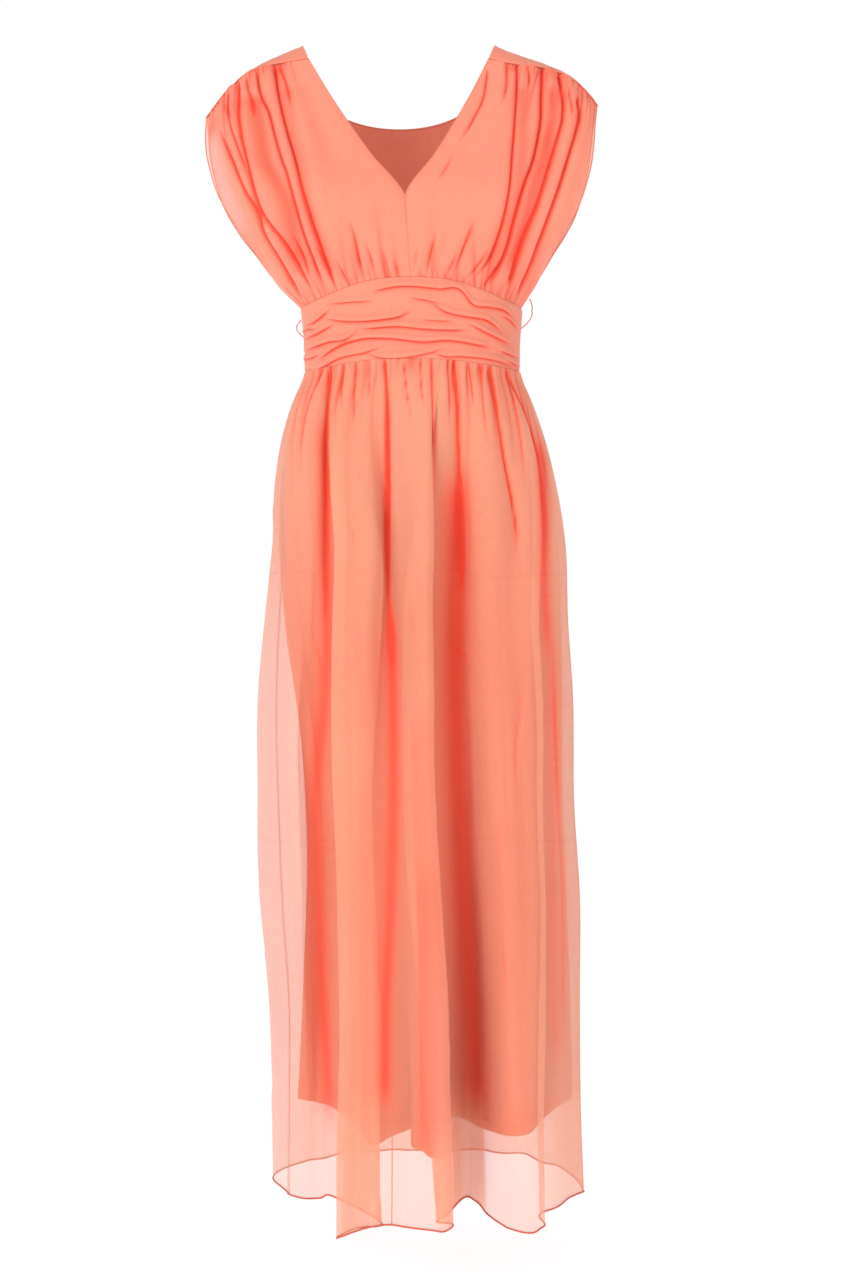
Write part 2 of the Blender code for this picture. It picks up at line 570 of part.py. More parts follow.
def front_points(hand, folds):
    columns = np.linspace(0, 1, 2 * BODICE_GATHERS + 1)
    rows = np.array(BODICE_ROWS)
    sign = -1 if hand == "right" else 1
    ends = inner_edge(hand, np.array([0.0, 1.0]))

    def top(share):
        line = shoulder_seam(hand, -1, share)
        return line + (ends[0] - shoulder_seam(hand, -1, np.array([0.0]))[0]) * ((1 - share) ** 4)[:, None]

    def bottom(share):
        line = band_top(hand, -1, share)
        return line + (ends[1] - band_top(hand, -1, np.array([0.0]))[0]) * ((1 - share) ** 4)[:, None]

    points = patch(top, bottom, lambda v: inner_edge(hand, v), lambda v: armhole_edge(hand, -1, v), columns, rows)
    u, v = np.meshgrid(columns, rows)
    points = swell(points, u, v, BUST, -1)
    if sign < 0:
        points = points[:, ::-1]
        folds = {name: values[::-1] if name[:3] == "out" else 1 - values[::-1] for name, values in folds.items()}
    return folded(points, folds, columns, rows, np.ones_like(columns))


def back_top(share):
    """The back's upper edge: up one shoulder seam, round the scooped neck and down the other seam."""
    neck = BACK_SHOULDER_GATHERS / (2 * BACK_SHOULDER_GATHERS + BACK_NECK_COLUMNS / 2)
    points = np.zeros((len(share), 3))
    right, left = share <= neck, share >= 1 - neck
    points[right] = shoulder_seam("right", 1, 1 - share[right] / neck)
    points[left] = shoulder_seam("left", 1, (share[left] - 1 + neck) / neck)
    scoop = ~(right | left)
    ends = shoulder_seam("right", 1, np.array([0.0]))[0], shoulder_seam("left", 1, np.array([0.0]))[0]
    part = (share[scoop] - neck) / (1 - 2 * neck)
    line = ends[0] + (ends[1] - ends[0]) * ((1 - np.cos(np.pi * part)) / 2)[:, None]
    dip = np.sin(np.pi * part) ** 0.8
    line[:, 1] += (BACK_NECK["back"] - ends[0][1]) * dip
    line[:, 2] -= (BACK_NECK["drop"] + ends[0][2]) * dip
    points[scoop] = line
    return points


def back_points():
    count = 4 * BACK_SHOULDER_GATHERS + BACK_NECK_COLUMNS
    columns = np.linspace(0, 1, count + 1)
    rows = np.array(BODICE_ROWS)

    def bottom(share):
        points = np.where(
            (share < 0.5)[:, None],
            band_top("right", 1, np.clip(1 - 2 * share, 0, 1)),
            band_top("left", 1, np.clip(2 * share - 1, 0, 1)),
        )
        return points

    points = patch(
        back_top, bottom, lambda v: armhole_edge("right", 1, v), lambda v: armhole_edge("left", 1, v), columns, rows
    )
    u, v = np.meshgrid(columns, rows)
    points = swell(points, u, v, BLADES, 1)
    neck = 2 * BACK_SHOULDER_GATHERS / count
    mask = np.where((columns < neck) | (columns > 1 - neck), 1.0, 0.0)
    folds = {name: values[::-1] if name[:3] == "out" else 1 - values[::-1] for name, values in BODICE_BACK.items()}
    return folded(points[:, ::-1], folds, columns, rows, mask[::-1])


def yoke_points(hand, columns=10):
    """A shoulder strip, rolled over the crest from the front seam to the back one."""
    share = np.linspace(0, 1, columns + 1)
    x, forward, seam, crest = (
        smooth_between(share, SHOULDER["share"], SHOULDER[name]) for name in (hand, "forward", hand + "_seam", hand + "_crest")
    )
    rows = []
    for part in (1.0, 0.55, 0.0, -0.55, -1.0):
        rows.append(np.stack([x, part * forward, -crest - (seam - crest) * part**2], axis=-1))
    points = np.array(rows)
    return points[:, ::-1] if hand == "right" else points


def make_bodice():
    cloth_wall("bodice_front_right", front_points("right", BODICE_RIGHT), "chiffon_bodice")
    cloth_wall("bodice_front_left", front_points("left", BODICE_LEFT), "chiffon_bodice")
    cloth_wall("bodice_back", back_points(), "chiffon_bodice")
    for hand in ("right", "left"):
        cloth_wall("shoulder_yoke_" + hand, yoke_points(hand), "chiffon_bodice")


# ---------------------------------------------------------------- belt loops
LOOP_WIRE = 0.0026
LOOP_SEAT = 0.0004  # between the ends of a loop and the cloth that it is sewn to
LOOP_BOW = {"left": 0.012, "right": 0.0068}  # how far each loop of thread stands off the seam
LOOP_TOP = {"left": 0.304, "right": 0.330}
LOOP_LENGTH = {"left": 0.036, "right": 0.020}


def make_loop(hand):
    """A thread carrier that bows out from the side seam of the band."""
    sign = -1 if hand == "right" else 1
    curve = bpy.data.curves.new("belt_loop_" + hand, "CURVE")
    curve.dimensions = "3D"
    curve.bevel_depth = LOOP_WIRE / 2
    curve.bevel_resolution = 2
    curve.use_fill_caps = True
    steps = 10
    spline = curve.splines.new("POLY")
    spline.points.add(steps)
    for step in range(steps + 1):
        part = step / steps
        drop = LOOP_TOP[hand] + LOOP_LENGTH[hand] * part
        band = abs(placed(BAND, np.array([drop]), np.array([float(sign)]), np.array([0.0]))[0, 0])
        seam = abs(smooth_between(drop, ARMHOLE[hand + "_drop"], ARMHOLE[hand + "_x"]))
        seat = seam if drop < UNDERBUST_SIDE_DROP else band
        wall = CLOTH if drop < UNDERBUST_SIDE_DROP else BAND_WALL
        stand = (LOOP_WIRE + wall) / 2 + LOOP_SEAT + LOOP_BOW[hand] * math.sin(math.pi * part)
        spline.points[step].co = (sign * (seat + stand), 0.0, -drop, 1.0)
    piece = bpy.data.objects.new("belt_loop_" + hand, curve)
    curve.materials.append(finish("thread_loop"))
    bpy.context.scene.collection.objects.link(piece)


# ---------------------------------------------------------------- the gown
for old in list(bpy.data.objects):
    bpy.data.objects.remove(old)
make_skirts()
make_band()
make_bodice()
for hand in ("right", "left"):
    make_loop(hand)
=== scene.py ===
# %% [markdown]
# # An evening gown in gathered chiffon
# The gown is made the way a dressmaker makes it: two fronts and a back gathered into smooth shoulder yokes, a
# waistband of lapped folds, a sheer outer skirt and a shorter opaque one under it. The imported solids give
# every piece its size and place. Here each one gets a thin shell of cloth with its real folds, and a cloth
# material. Lengths are in metres and angles in degrees. "drop" is measured down from the shoulder line,
# "right" and "left" are the wearer's, and -Y is the front.

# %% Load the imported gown
import math

import bpy
import numpy as np
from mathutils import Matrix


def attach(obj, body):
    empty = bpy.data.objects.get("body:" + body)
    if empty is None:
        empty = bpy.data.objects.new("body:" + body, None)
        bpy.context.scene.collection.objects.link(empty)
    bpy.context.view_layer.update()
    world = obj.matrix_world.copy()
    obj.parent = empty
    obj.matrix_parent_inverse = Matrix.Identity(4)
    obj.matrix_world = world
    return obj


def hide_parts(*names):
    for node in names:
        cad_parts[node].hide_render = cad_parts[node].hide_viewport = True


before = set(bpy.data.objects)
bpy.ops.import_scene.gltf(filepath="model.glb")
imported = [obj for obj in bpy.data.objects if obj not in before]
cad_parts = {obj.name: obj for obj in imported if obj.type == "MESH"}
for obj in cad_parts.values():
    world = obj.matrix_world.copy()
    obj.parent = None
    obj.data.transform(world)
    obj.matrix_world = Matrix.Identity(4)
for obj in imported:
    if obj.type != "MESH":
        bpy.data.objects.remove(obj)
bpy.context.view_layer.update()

# %% [markdown]
# ## Camera, floor and light
# A long lens stands level, a little below the middle of the gown, four metres away. Cloth this pale and thin
# is lit from all round: a white room gives the soft light, and two large weak lamps in front give the folds
# their direction. The floor is white too, so only a faint shadow shows where the hem hangs over it.

# %% Camera
PHOTO_HEIGHT = 1280  # pixels of the photograph
FOCAL_PIXELS = 3279  # the lens, in the same pixels
CAMERA_PLACE = (0.033, -4.0, -0.72)
SENSOR = 36  # its width in millimetres

lens = bpy.data.cameras.new("camera")
lens.sensor_width = SENSOR
lens.lens = SENSOR * FOCAL_PIXELS / PHOTO_HEIGHT
camera = bpy.data.objects.new("camera", lens)
camera.location = CAMERA_PLACE
camera.rotation_euler = (math.radians(90), 0, 0)
bpy.context.scene.collection.objects.link(camera)
bpy.context.scene.camera = camera


# %% A helper that builds node trees
def add(tree, kind, links=None, **values):
    """A node with its settings. Keyword names are its properties, or else its input sockets."""
    node = tree.nodes.new(kind)
    for name, value in values.items():
        if hasattr(node, name):
            setattr(node, name, value)
        else:
            node.inputs[name.replace("_", " ")].default_value = value
    for socket, source in (links or {}).items():
        tree.links.new(source, node.inputs[socket])
    return node


def maths(tree, operation, first, second):
    """The result of a sum of two values. The second may be a plain number."""
    node = add(tree, "ShaderNodeMath", {0: first}, operation=operation)
    if isinstance(second, float):
        node.inputs[1].default_value = second
    else:
        tree.links.new(second, node.inputs[1])
    return node.outputs["Value"]


def white_to_camera(tree, lit, white, share, out):
    """Shows the camera that share of plain white, and leaves the light that the surface gives as it is."""
    much = maths(tree, "MULTIPLY", add(tree, "ShaderNodeLightPath").outputs["Is Camera Ray"], share)
    either = add(tree, "ShaderNodeMixShader", {"Fac": much, 1: lit.outputs[0], 2: white.outputs[0]})
    tree.links.new(either.outputs[0], out.inputs["Surface"])


# %% Room
WHITE = (1.0, 1.0, 1.0, 1.0)
ROOM_COLOUR = (1.0, 0.99, 0.98, 1.0)
ROOM_LIGHT = 0.68

scene = bpy.context.scene
scene.view_settings.view_transform = "Standard"
scene.view_settings.look = "None"
scene.cycles.transparent_max_bounces = 24
scene.cycles.max_bounces, scene.cycles.diffuse_bounces = 4, 2

room = bpy.data.worlds.new("white_room")
room.use_nodes = True
walls = room.node_tree
soft = walls.nodes["Background"]
soft.inputs["Color"].default_value = ROOM_COLOUR
soft.inputs["Strength"].default_value = ROOM_LIGHT
seen = add(walls, "ShaderNodeBackground", Color=WHITE, Strength=1.0)
white_to_camera(walls, soft, seen, 1.0, walls.nodes["World Output"])
scene.world = room

# %% Lamps: place, power in watts, and size
LAMPS = {"lamp_left": ((-2.6, -3.0, 0.9), 86, 1.5), "lamp_right": ((2.9, -2.8, 0.2), 36, 1.8)}
LAMP_AIM = (0.03, 0.0, -0.65)  # the middle of the gown

for name, (place, power, size) in LAMPS.items():
    light = bpy.data.lights.new(name, "AREA")
    light.energy, light.size = power, size
    lamp = bpy.data.objects.new(name, light)
    lamp.location = place
    aim = np.array(LAMP_AIM) - np.array(place)
    lamp.rotation_euler = (math.acos(-aim[2] / np.linalg.norm(aim)), 0, math.atan2(-aim[0], aim[1]))
    scene.collection.objects.link(lamp)

# %% Floor
FLOOR_HALF, FLOOR_DROP = 30, 1.47
FLOOR_PAINT = {
    "Base Color": (0.95, 0.95, 0.95, 1.0),
    "Roughness": 0.9,
    "Emission Color": WHITE,
    "Emission Strength": 0.42,
}
FLOOR_WHITE = 0.85  # share of plain white in what is seen of the floor; the rest is its own shade

corners = [(x * FLOOR_HALF, y * FLOOR_HALF, -FLOOR_DROP) for x, y in ((-1, -1), (1, -1), (1, 1), (-1, 1))]
floor_mesh = bpy.data.meshes.new("floor")
floor_mesh.from_pydata(corners, [], [(0, 1, 2, 3)])
floor = bpy.data.objects.new("floor", floor_mesh)
scene.collection.objects.link(floor)
floor_paint = bpy.data.materials.new("floor_paint")
floor_paint.use_nodes = True
paint = floor_paint.node_tree
floor_shader = paint.nodes["Principled BSDF"]
for name, value in FLOOR_PAINT.items():
    floor_shader.inputs[name].default_value = value
seen = add(paint, "ShaderNodeEmission")
white_to_camera(paint, floor_shader, seen, FLOOR_WHITE, paint.nodes["Material Output"])
floor_mesh.materials.append(floor_paint)
print("camera, floor and lamps are set")

# %% [markdown]
# ## The cloths
# Chiffon is a very open plain weave of hard-twisted thread, so it has a fine crepe grain, almost no shine,
# and lets light and sight through. One layer hides about half of what lies behind it, and layers add up where
# the skirt folds. A shell has two faces, so the outer one hides as much as a layer does, and the inner one
# almost nothing. The material reads the cloth's own UV map, in metres along its threads, so that the weave
# follows every fold, and two values stored on the mesh: "opacity", which is 1 where the cloth is backed, and
# a painted shade value, which is 1 at the bottom of a fold: there the colour is painted deep red, in place of
# the light that has met dyed cloth many times.

# %% Colours
CORAL = (0.93, 0.322, 0.216)
CORAL_DEEP = (0.91, 0.285, 0.186)
# Painted shade: the deep red that coral cloth and thread are painted at the bottom of a fold
CORAL_PAINTED_SHADE = (0.96, 0.080, 0.034)
SHEER_CORAL = (0.95, 0.430, 0.280)
SHEER_CORAL_DEEP = (0.93, 0.390, 0.248)
SEAM_CORAL = (0.80, 0.165, 0.100)
SEAM_CORAL_DEEP = (0.74, 0.125, 0.075)
LINING_RED = (0.90, 0.205, 0.130)
LINING_RED_DEEP = (0.88, 0.175, 0.108)
# Painted shade: the deep red that the underskirt is painted at the bottom of a fold and on its hem
LINING_PAINTED_SHADE = (0.97, 0.050, 0.021)
THREAD = (0.88, 0.25, 0.16)
THREAD_DEEP = (0.80, 0.20, 0.13)
THREAD_PITCH = 0.00042  # between the threads of the weave
THREAD_SCALE = 1 / THREAD_PITCH / 20  # a wave texture has 20 bands to a unit at a scale of 1


# %% Marks of packing
PRESS_LINE = -0.642  # height of the level line that shows most
PRESS_APART = 0.16  # half of the way from one line to the next
PRESS_WAVER = 0.012  # how far a line strays to each side
PRESS_WIDTH, PRESS_SHARE = 0.0024, 0.22  # of a line, and its height beside that of the crinkles


def packing_marks(tree, place, normal, height):
    """Bump for the level lines where the skirt was folded away, and for patches of fine level crinkles."""
    level = add(tree, "ShaderNodeSeparateXYZ", {"Vector": place}).outputs["Z"]
    noise = add(tree, "ShaderNodeTexNoise", {"Vector": place}, Scale=9.0, Detail=0.0).outputs["Fac"]
    stray = {"To_Min": PRESS_LINE - PRESS_WAVER, "To_Max": PRESS_LINE + PRESS_WAVER}
    line_height = add(tree, "ShaderNodeMapRange", {"Value": noise}, **stray).outputs["Result"]
    from_line = maths(tree, "PINGPONG", maths(tree, "SUBTRACT", level, line_height), PRESS_APART)
    sizes = {"From_Min": 0.0, "From_Max": PRESS_WIDTH, "To_Min": PRESS_SHARE, "To_Max": 0.0}
    line = add(tree, "ShaderNodeMapRange", {"Value": from_line}, **sizes).outputs["Result"]
    flat = add(tree, "ShaderNodeMapping", {"Vector": place}, Scale=(14.0, 14.0, 95.0)).outputs["Vector"]
    fine = add(tree, "ShaderNodeTexNoise", {"Vector": flat}, Scale=1.0, Detail=1.0).outputs["Fac"]
    patch = add(tree, "ShaderNodeTexNoise", {"Vector": place}, Scale=7.0, Detail=0.0).outputs["Fac"]
    where = add(tree, "ShaderNodeMapRange", {"Value": patch}, From_Min=0.48, From_Max=0.62).outputs["Result"]
    both = maths(tree, "ADD", line, maths(tree, "MULTIPLY", fine, where))
    bump = {"Height": both, "Normal": normal}
    return add(tree, "ShaderNodeBump", bump, Strength=0.8, Distance=height).outputs["Normal"]


# %% The cloth material
def cloth(
    name, colour, deep, painted_shade, grain=0.00003, sheen=0.25, through=0.25, backed=True, roughness=0.8, marked=0.0
):
    """Woven cloth: crepe grain and threads as bump, a slightly uneven dye, painted shade that turns it deep
    red in the folds, and light let through it. The marks of packing are level lines and patches of fine
    crinkles, as high as marked says. Cloth that isn't backed is as sheer as its mesh says."""
    material = bpy.data.materials.new(name)
    material.use_nodes = True
    tree = material.node_tree
    tree.nodes.clear()
    uv = add(tree, "ShaderNodeUVMap", uv_map="cloth").outputs["UV"]
    place = add(tree, "ShaderNodeTexCoord").outputs["Object"]

    dye = add(tree, "ShaderNodeTexNoise", {"Vector": place}, Scale=5.0, Detail=1.0).outputs["Fac"]
    slubs = add(tree, "ShaderNodeMapping", {"Vector": uv}, Scale=(900.0, 60.0, 1.0)).outputs["Vector"]
    slub = add(tree, "ShaderNodeTexNoise", {"Vector": slubs}, Scale=1.0, Detail=0.0).outputs["Fac"]
    mottled = maths(tree, "ADD", dye, slub)
    share = add(tree, "ShaderNodeMapRange", {"Value": mottled}, From_Min=0.7, From_Max=1.3).outputs["Result"]
    tint = add(tree, "ShaderNodeMix", {"Factor": share}, data_type="RGBA")
    tint.inputs[6].default_value = (*deep, 1.0)
    tint.inputs[7].default_value = (*colour, 1.0)
    # Painted shade: the colour is mixed toward the deep red of a fold as far as the mesh's painted shade
    # value says
    folds_and_painted_shade = add(tree, "ShaderNodeAttribute", attribute_name="painted_shade").outputs["Fac"]
    painted_shade_mix = add(tree, "ShaderNodeMix", {"Factor": folds_and_painted_shade, 6: tint.outputs[2]}, data_type="RGBA")
    painted_shade_mix.inputs[7].default_value = (*painted_shade, 1.0)
    tint = painted_shade_mix.outputs[2]

    threads = []
    for direction in ("X", "Y"):
        bands = {"bands_direction": direction, "Scale": THREAD_SCALE, "Distortion": 1.5}
        threads.append(add(tree, "ShaderNodeTexWave", {"Vector": uv}, **bands).outputs["Fac"])
    crepe = add(tree, "ShaderNodeTexNoise", {"Vector": uv}, Scale=700.0, Detail=0.0).outputs["Fac"]
    height = maths(tree, "ADD", maths(tree, "MULTIPLY", *threads), crepe)
    bump = add(tree, "ShaderNodeBump", {"Height": height}, Strength=0.5, Distance=grain).outputs["Normal"]
    if marked:
        bump = packing_marks(tree, place, bump, marked)

    gloss = {"Roughness": roughness, "Specular_IOR_Level": 0.25, "Sheen_Weight": sheen}
    look = {"Base Color": tint, "Normal": bump}
    face = add(tree, "ShaderNodeBsdfPrincipled", look, **gloss, Sheen_Roughness=0.5)
    glow = add(tree, "ShaderNodeBsdfTranslucent", {"Color": tint, "Normal": bump})
    surface = add(tree, "ShaderNodeMixShader", {1: face.outputs[0], 2: glow.outputs[0]}, Fac=through)
    out = add(tree, "ShaderNodeOutputMaterial")
    if backed:
        tree.links.new(surface.outputs[0], out.inputs["Surface"])
        return material
    clear = add(tree, "ShaderNodeBsdfTransparent")
    seen = add(tree, "ShaderNodeAttribute", attribute_name="opacity").outputs["Fac"]
    mixed = add(tree, "ShaderNodeMixShader", {"Fac": seen, 1: clear.outputs[0], 2: surface.outputs[0]})
    tree.links.new(mixed.outputs[0], out.inputs["Surface"])
    return material


bodice_chiffon = cloth("bodice_chiffon", CORAL, CORAL_DEEP, CORAL_PAINTED_SHADE, backed=False)
backed_chiffon = cloth("backed_chiffon", CORAL, CORAL_DEEP, CORAL_PAINTED_SHADE)
sheer_chiffon = cloth(
    "sheer_chiffon", SHEER_CORAL, SHEER_CORAL_DEEP, CORAL_PAINTED_SHADE, through=0.25, backed=False, marked=0.0030
)
smooth_lining = {"grain": 0.00001, "sheen": 0.1, "through": 0.12, "roughness": 0.6}
lining_cloth = cloth("lining_cloth", LINING_RED, LINING_RED_DEEP, LINING_PAINTED_SHADE, **smooth_lining)
seam_chiffon = cloth("seam_chiffon", SEAM_CORAL, SEAM_CORAL_DEEP, CORAL_PAINTED_SHADE, backed=False)
thread = cloth("sewing_thread", THREAD, THREAD_DEEP, CORAL_PAINTED_SHADE, grain=0.00005, sheen=0.35, through=0.05)
print("cloths:", [m.name for m in bpy.data.materials])

# %% [markdown]
# ## Curves and grids
# Every piece of cloth is worked out as a grid of points, rows running down it and columns across it. The
# sections, seams and large folds come from short tables, with smooth curves through their values. These are
# the same sizes that the solids are made from, read at a much finer step.


# %% Tables and smooth curves through them
def table(columns, *rows):
    """A small table with named columns."""
    return {name: np.array(values) for name, values in zip(columns.split(), zip(*rows))}


def smooth_between(place, knots, values):
    """A smooth curve through the values at the knots, which may have a column for each column of places."""
    place = np.clip(np.asarray(place, float), knots[0], knots[-1])
    values = np.asarray(values, float)
    slope = np.gradient(values, knots, axis=0)
    low = np.clip(np.searchsorted(knots, place, side="right") - 1, 0, len(knots) - 2)
    span = knots[low + 1] - knots[low]
    part = (place - knots[low]) / span
    if values.ndim > 1 and place.ndim > 1:
        column = np.arange(values.shape[1])
        picked = [values[low, column], values[low + 1, column], slope[low, column], slope[low + 1, column]]
    else:
        picked = [values[low], values[low + 1], slope[low], slope[low + 1]]
        if values.ndim > 1:
            part, span = part[..., None], span[..., None]
    first, last, leave, arrive = picked
    start = (1 + 2 * part) * (1 - part) ** 2 * first + part * (1 - part) ** 2 * span * leave
    return start + part**2 * (3 - 2 * part) * last - part**2 * (1 - part) * span * arrive


def step_up(place, start, end):
    """0 before start, 1 after end and smooth between."""
    part = np.clip((place - start) / (end - start), 0, 1)
    return part * part * (3 - 2 * part)


def bell(distance, width):
    return np.exp(-((distance / width) ** 2))


def wrinkled(across, down, seed):
    """Smooth random values from -1 to 1, one new value for each whole step across and down."""
    lattice = np.random.default_rng(seed).uniform(-1, 1, (64, 64))
    i, j = np.floor(across).astype(int), np.floor(down).astype(int)
    s, t = step_up(across - i, 0, 1), step_up(down - j, 0, 1)

    def corner(a, b):
        return lattice[(i + a) % 64, (j + b) % 64]

    top = corner(0, 0) * (1 - s) + corner(1, 0) * s
    return top * (1 - t) + (corner(0, 1) * (1 - s) + corner(1, 1) * s) * t


def uneven(waves):
    """The sum of soft random waves. A wave is its height, its places across and down, and its seed."""
    return sum(height * wrinkled(across, down, seed) for height, across, down, seed in waves)


# %% Sections of the worn gown
ROUNDNESS = 2.4  # of the body's sections: 2 is an ellipse, more is squarer


def round_section(degrees, side):
    """Shares of a section's reach, across and along: side is -1 for the front and 1 for the back."""
    turn = np.radians(degrees)
    power = 2 / ROUNDNESS
    return np.sign(np.sin(turn)) * np.abs(np.sin(turn)) ** power, side * np.abs(np.cos(turn)) ** power


def placed(sections, drop, across, along):
    """World points for shares of a section's reach at a drop below the shoulder line."""
    names = ("right", "left", "front", "back")
    right, left, front, back = (smooth_between(drop, sections["drop"], sections[name]) for name in names)
    x = (left + right) / 2 + across * (left - right) / 2
    return np.stack([x, along * np.where(along < 0, front, back), -drop], axis=-1)


def normals_of(points):
    """Unit normals of a grid, out of the gown."""
    normal = np.cross(np.gradient(points, axis=0), np.gradient(points, axis=1))
    return normal / (np.linalg.norm(normal, axis=-1, keepdims=True) + 1e-12)


def turned_round(when, *grids):
    """The same grids, with their columns the other way round where the faces would point into the gown."""
    return tuple(grid[:, ::-1] for grid in grids) if when else grids


# %% From a grid of points to a thin shell
made = {}
INNER_FACE = 0.02  # share of its outer face's opacity


def shell(name, points, material, wall=0.0004, opacity=1.0, painted_shade=0.0):
    """A closed thin shell on a grid, with the cloth's own UV map in metres. Each point has its opacity, and
    its painted shade, from 0 to 1, which is deepest at the bottom of a fold."""
    rows, columns = points.shape[:2]
    index = np.arange(rows * columns).reshape(rows, columns)
    quads = np.stack([index[:-1, :-1], index[1:, :-1], index[1:, 1:], index[:-1, 1:]], axis=-1).reshape(-1, 4)
    mesh = bpy.data.meshes.new(name)
    mesh.from_pydata(points.reshape(-1, 3).tolist(), [], quads.tolist())
    across = np.linalg.norm(np.diff(points, axis=1), axis=-1)
    down = np.linalg.norm(np.diff(points, axis=0), axis=-1)
    u = np.concatenate([np.zeros((rows, 1)), np.cumsum(across, axis=1)], axis=1)
    v = np.concatenate([np.zeros((1, columns)), np.cumsum(down, axis=0)], axis=0)
    corners = np.stack([u, v], axis=-1).reshape(-1, 2)[quads.reshape(-1)]
    mesh.uv_layers.new(name="cloth").data.foreach_set("uv", corners.astype(np.float32).ravel())
    for label, value in (("opacity", opacity), ("painted_shade", painted_shade)):
        values = (np.ones((rows, columns)) * value).astype(np.float32)
        mesh.attributes.new(label, "FLOAT", "POINT").data.foreach_set("value", values.ravel())
    mesh.materials.append(material)
    mesh.shade_smooth()
    piece = plain(name, mesh, wall)
    seen = np.zeros(len(piece.data.vertices), np.float32)
    piece.data.attributes["opacity"].data.foreach_get("value", seen)
    seen[rows * columns :] *= INNER_FACE
    piece.data.attributes["opacity"].data.foreach_set("value", seen)
    return piece


def plain(name, mesh, wall=None):
    """A plain object for a mesh, with no modifier, and with a wall of that thickness where one is given."""
    thing = bpy.data.objects.new(name, mesh)
    scene.collection.objects.link(thing)
    if wall:
        solid = thing.modifiers.new("wall", "SOLIDIFY")
        solid.thickness, solid.offset = wall, 0.0
        baked = bpy.data.meshes.new_from_object(thing.evaluated_get(bpy.context.evaluated_depsgraph_get()))
        thing.modifiers.clear()
        thing.data = baked
        baked.name = name
    made[name] = len(thing.data.loops) - 2 * len(thing.data.polygons)
    faces = np.zeros(len(thing.data.polygons))
    thing.data.polygons.foreach_get("area", faces)
    print(name, made[name], "triangles", round(faces.sum() / 2, 4), "square metres a side")
    return thing


# %% [markdown]
# ## Folds drawn one by one
# A crease is drawn as a line on the gown seen from the front, in millimetres across and down. The cloth sinks
# into a narrow line and swells into a soft ridge on one side of it, and the line gets painted shade. Lines
# that run down are used on the bodice and skirts, and lines that run across on the waistband, where the cloth
# above laps over the line.


# %% Creases that run down
SOFT_WIDTH = 5  # millimetres: wider lines are soft hollows
DEEPEST = 6.0  # millimetres: a soft hollow this deep gets the deepest painted shade
LINE_SHADE = 0.26  # painted shade of a narrow line, for each millimetre of its depth
LINE_ROUND = 0.0004  # how round a narrow line is at its bottom
STEEP, GENTLE = 0.45, 1.10  # share of a line's width on the side of its ridge, and on its other side
STEEP_SHADE, GENTLE_SHADE = 0.30, 0.55  # the same for its painted shade
STARTS_WITHIN = 0.012  # a line that starts above a seam comes to its full depth within this length


def sharp(distance, width):
    """A narrow line that is steeper the nearer it comes to the middle."""
    return np.exp((LINE_ROUND - np.hypot(distance, LINE_ROUND)) / width)


def creased(points, lines, outward, fade=0.03, seam=0.0, shade=0.55):
    """Sinks lines into the cloth. A line is its path, its width and depth, and the width and height of the
    ridge beside it, all in millimetres; the ridge lies on the left of the view for a negative width. The
    cloth falls steeply from the ridge into the line, and climbs out of it more slowly. A line that starts
    above the seam's drop starts there at its full depth. Also gives painted shade along the lines, from 0 to
    1; shade sets how strong it is for the wide ones."""
    drop, x = -points[..., 2], points[..., 0]
    rise, painted_shade = np.zeros(points.shape[:2]), np.zeros(points.shape[:2])
    for path, width, depth, ridge_width, ridge in lines:
        path = np.array(path, float) / 1000
        away = x - smooth_between(drop, path[:, 1], path[:, 0])
        start, end = path[0, 1], path[-1, 1]
        ends = min(fade, (end - start) * 0.5)
        reach = 1 - step_up(drop, end - ends, end)
        begins = (start - STARTS_WITHIN, start) if start < seam else (start, start + ends)
        reach *= step_up(drop, *begins)
        side = abs(ridge_width) / 1000
        centre = math.copysign(side + width / 1000, ridge_width)
        if width > SOFT_WIDTH:
            line = bell(away, width / 1000)
            painted_shade += reach * line * depth / DEEPEST * shade
        else:
            by_ridge = away * ridge_width > 0
            line = sharp(away, np.where(by_ridge, STEEP, GENTLE) * width / 1000)
            # The painted shade along a narrow line
            colour = sharp(away, np.where(by_ridge, STEEP_SHADE, GENTLE_SHADE) * width / 1000)
            painted_shade += reach * colour * depth * LINE_SHADE
        rise += reach * (bell(away - centre, side) * ridge - line * depth) / 1000
    return points + outward * rise[..., None], np.clip(painted_shade, 0, 1)


# %% Painted shade in the wide hollows
def shaded(points, angle, marks, fade=0.06):
    """Painted shade for the wide hollows: it moves no cloth. A mark is the angles that it covers, its path,
    its half-widths to the left and right of the view, in millimetres, and how deep its painted shade is."""
    drop, x = -points[..., 2], points[..., 0]
    shade = np.zeros(points.shape[:2])
    for (first, last), path, left, right, strength in marks:
        path = np.array(path, float) / 1000
        away = x - smooth_between(drop, path[:, 1], path[:, 0])
        start, end = path[0, 1], path[-1, 1]
        reach = step_up(drop, start, start + fade) * (1 - step_up(drop, end - fade, end))
        reach *= step_up(angle, first - 1, first + 1) * (1 - step_up(angle, last - 1, last + 1))
        shade += strength * reach * bell(away, np.where(away < 0, left, right) / 1000)
    return shade


# %% Creases that run across
LIP_ABOVE, LIP_WIDTH = 0.0020, 0.0040  # the proud edge of a lapped fold, above its dark line
LAP_FADE, LAP_START = 0.022, 0.002  # how far from its ends a fold comes to its full height, and starts
LAP_DEEPEST = 1.5  # millimetres: a line this deep gets the deepest painted shade
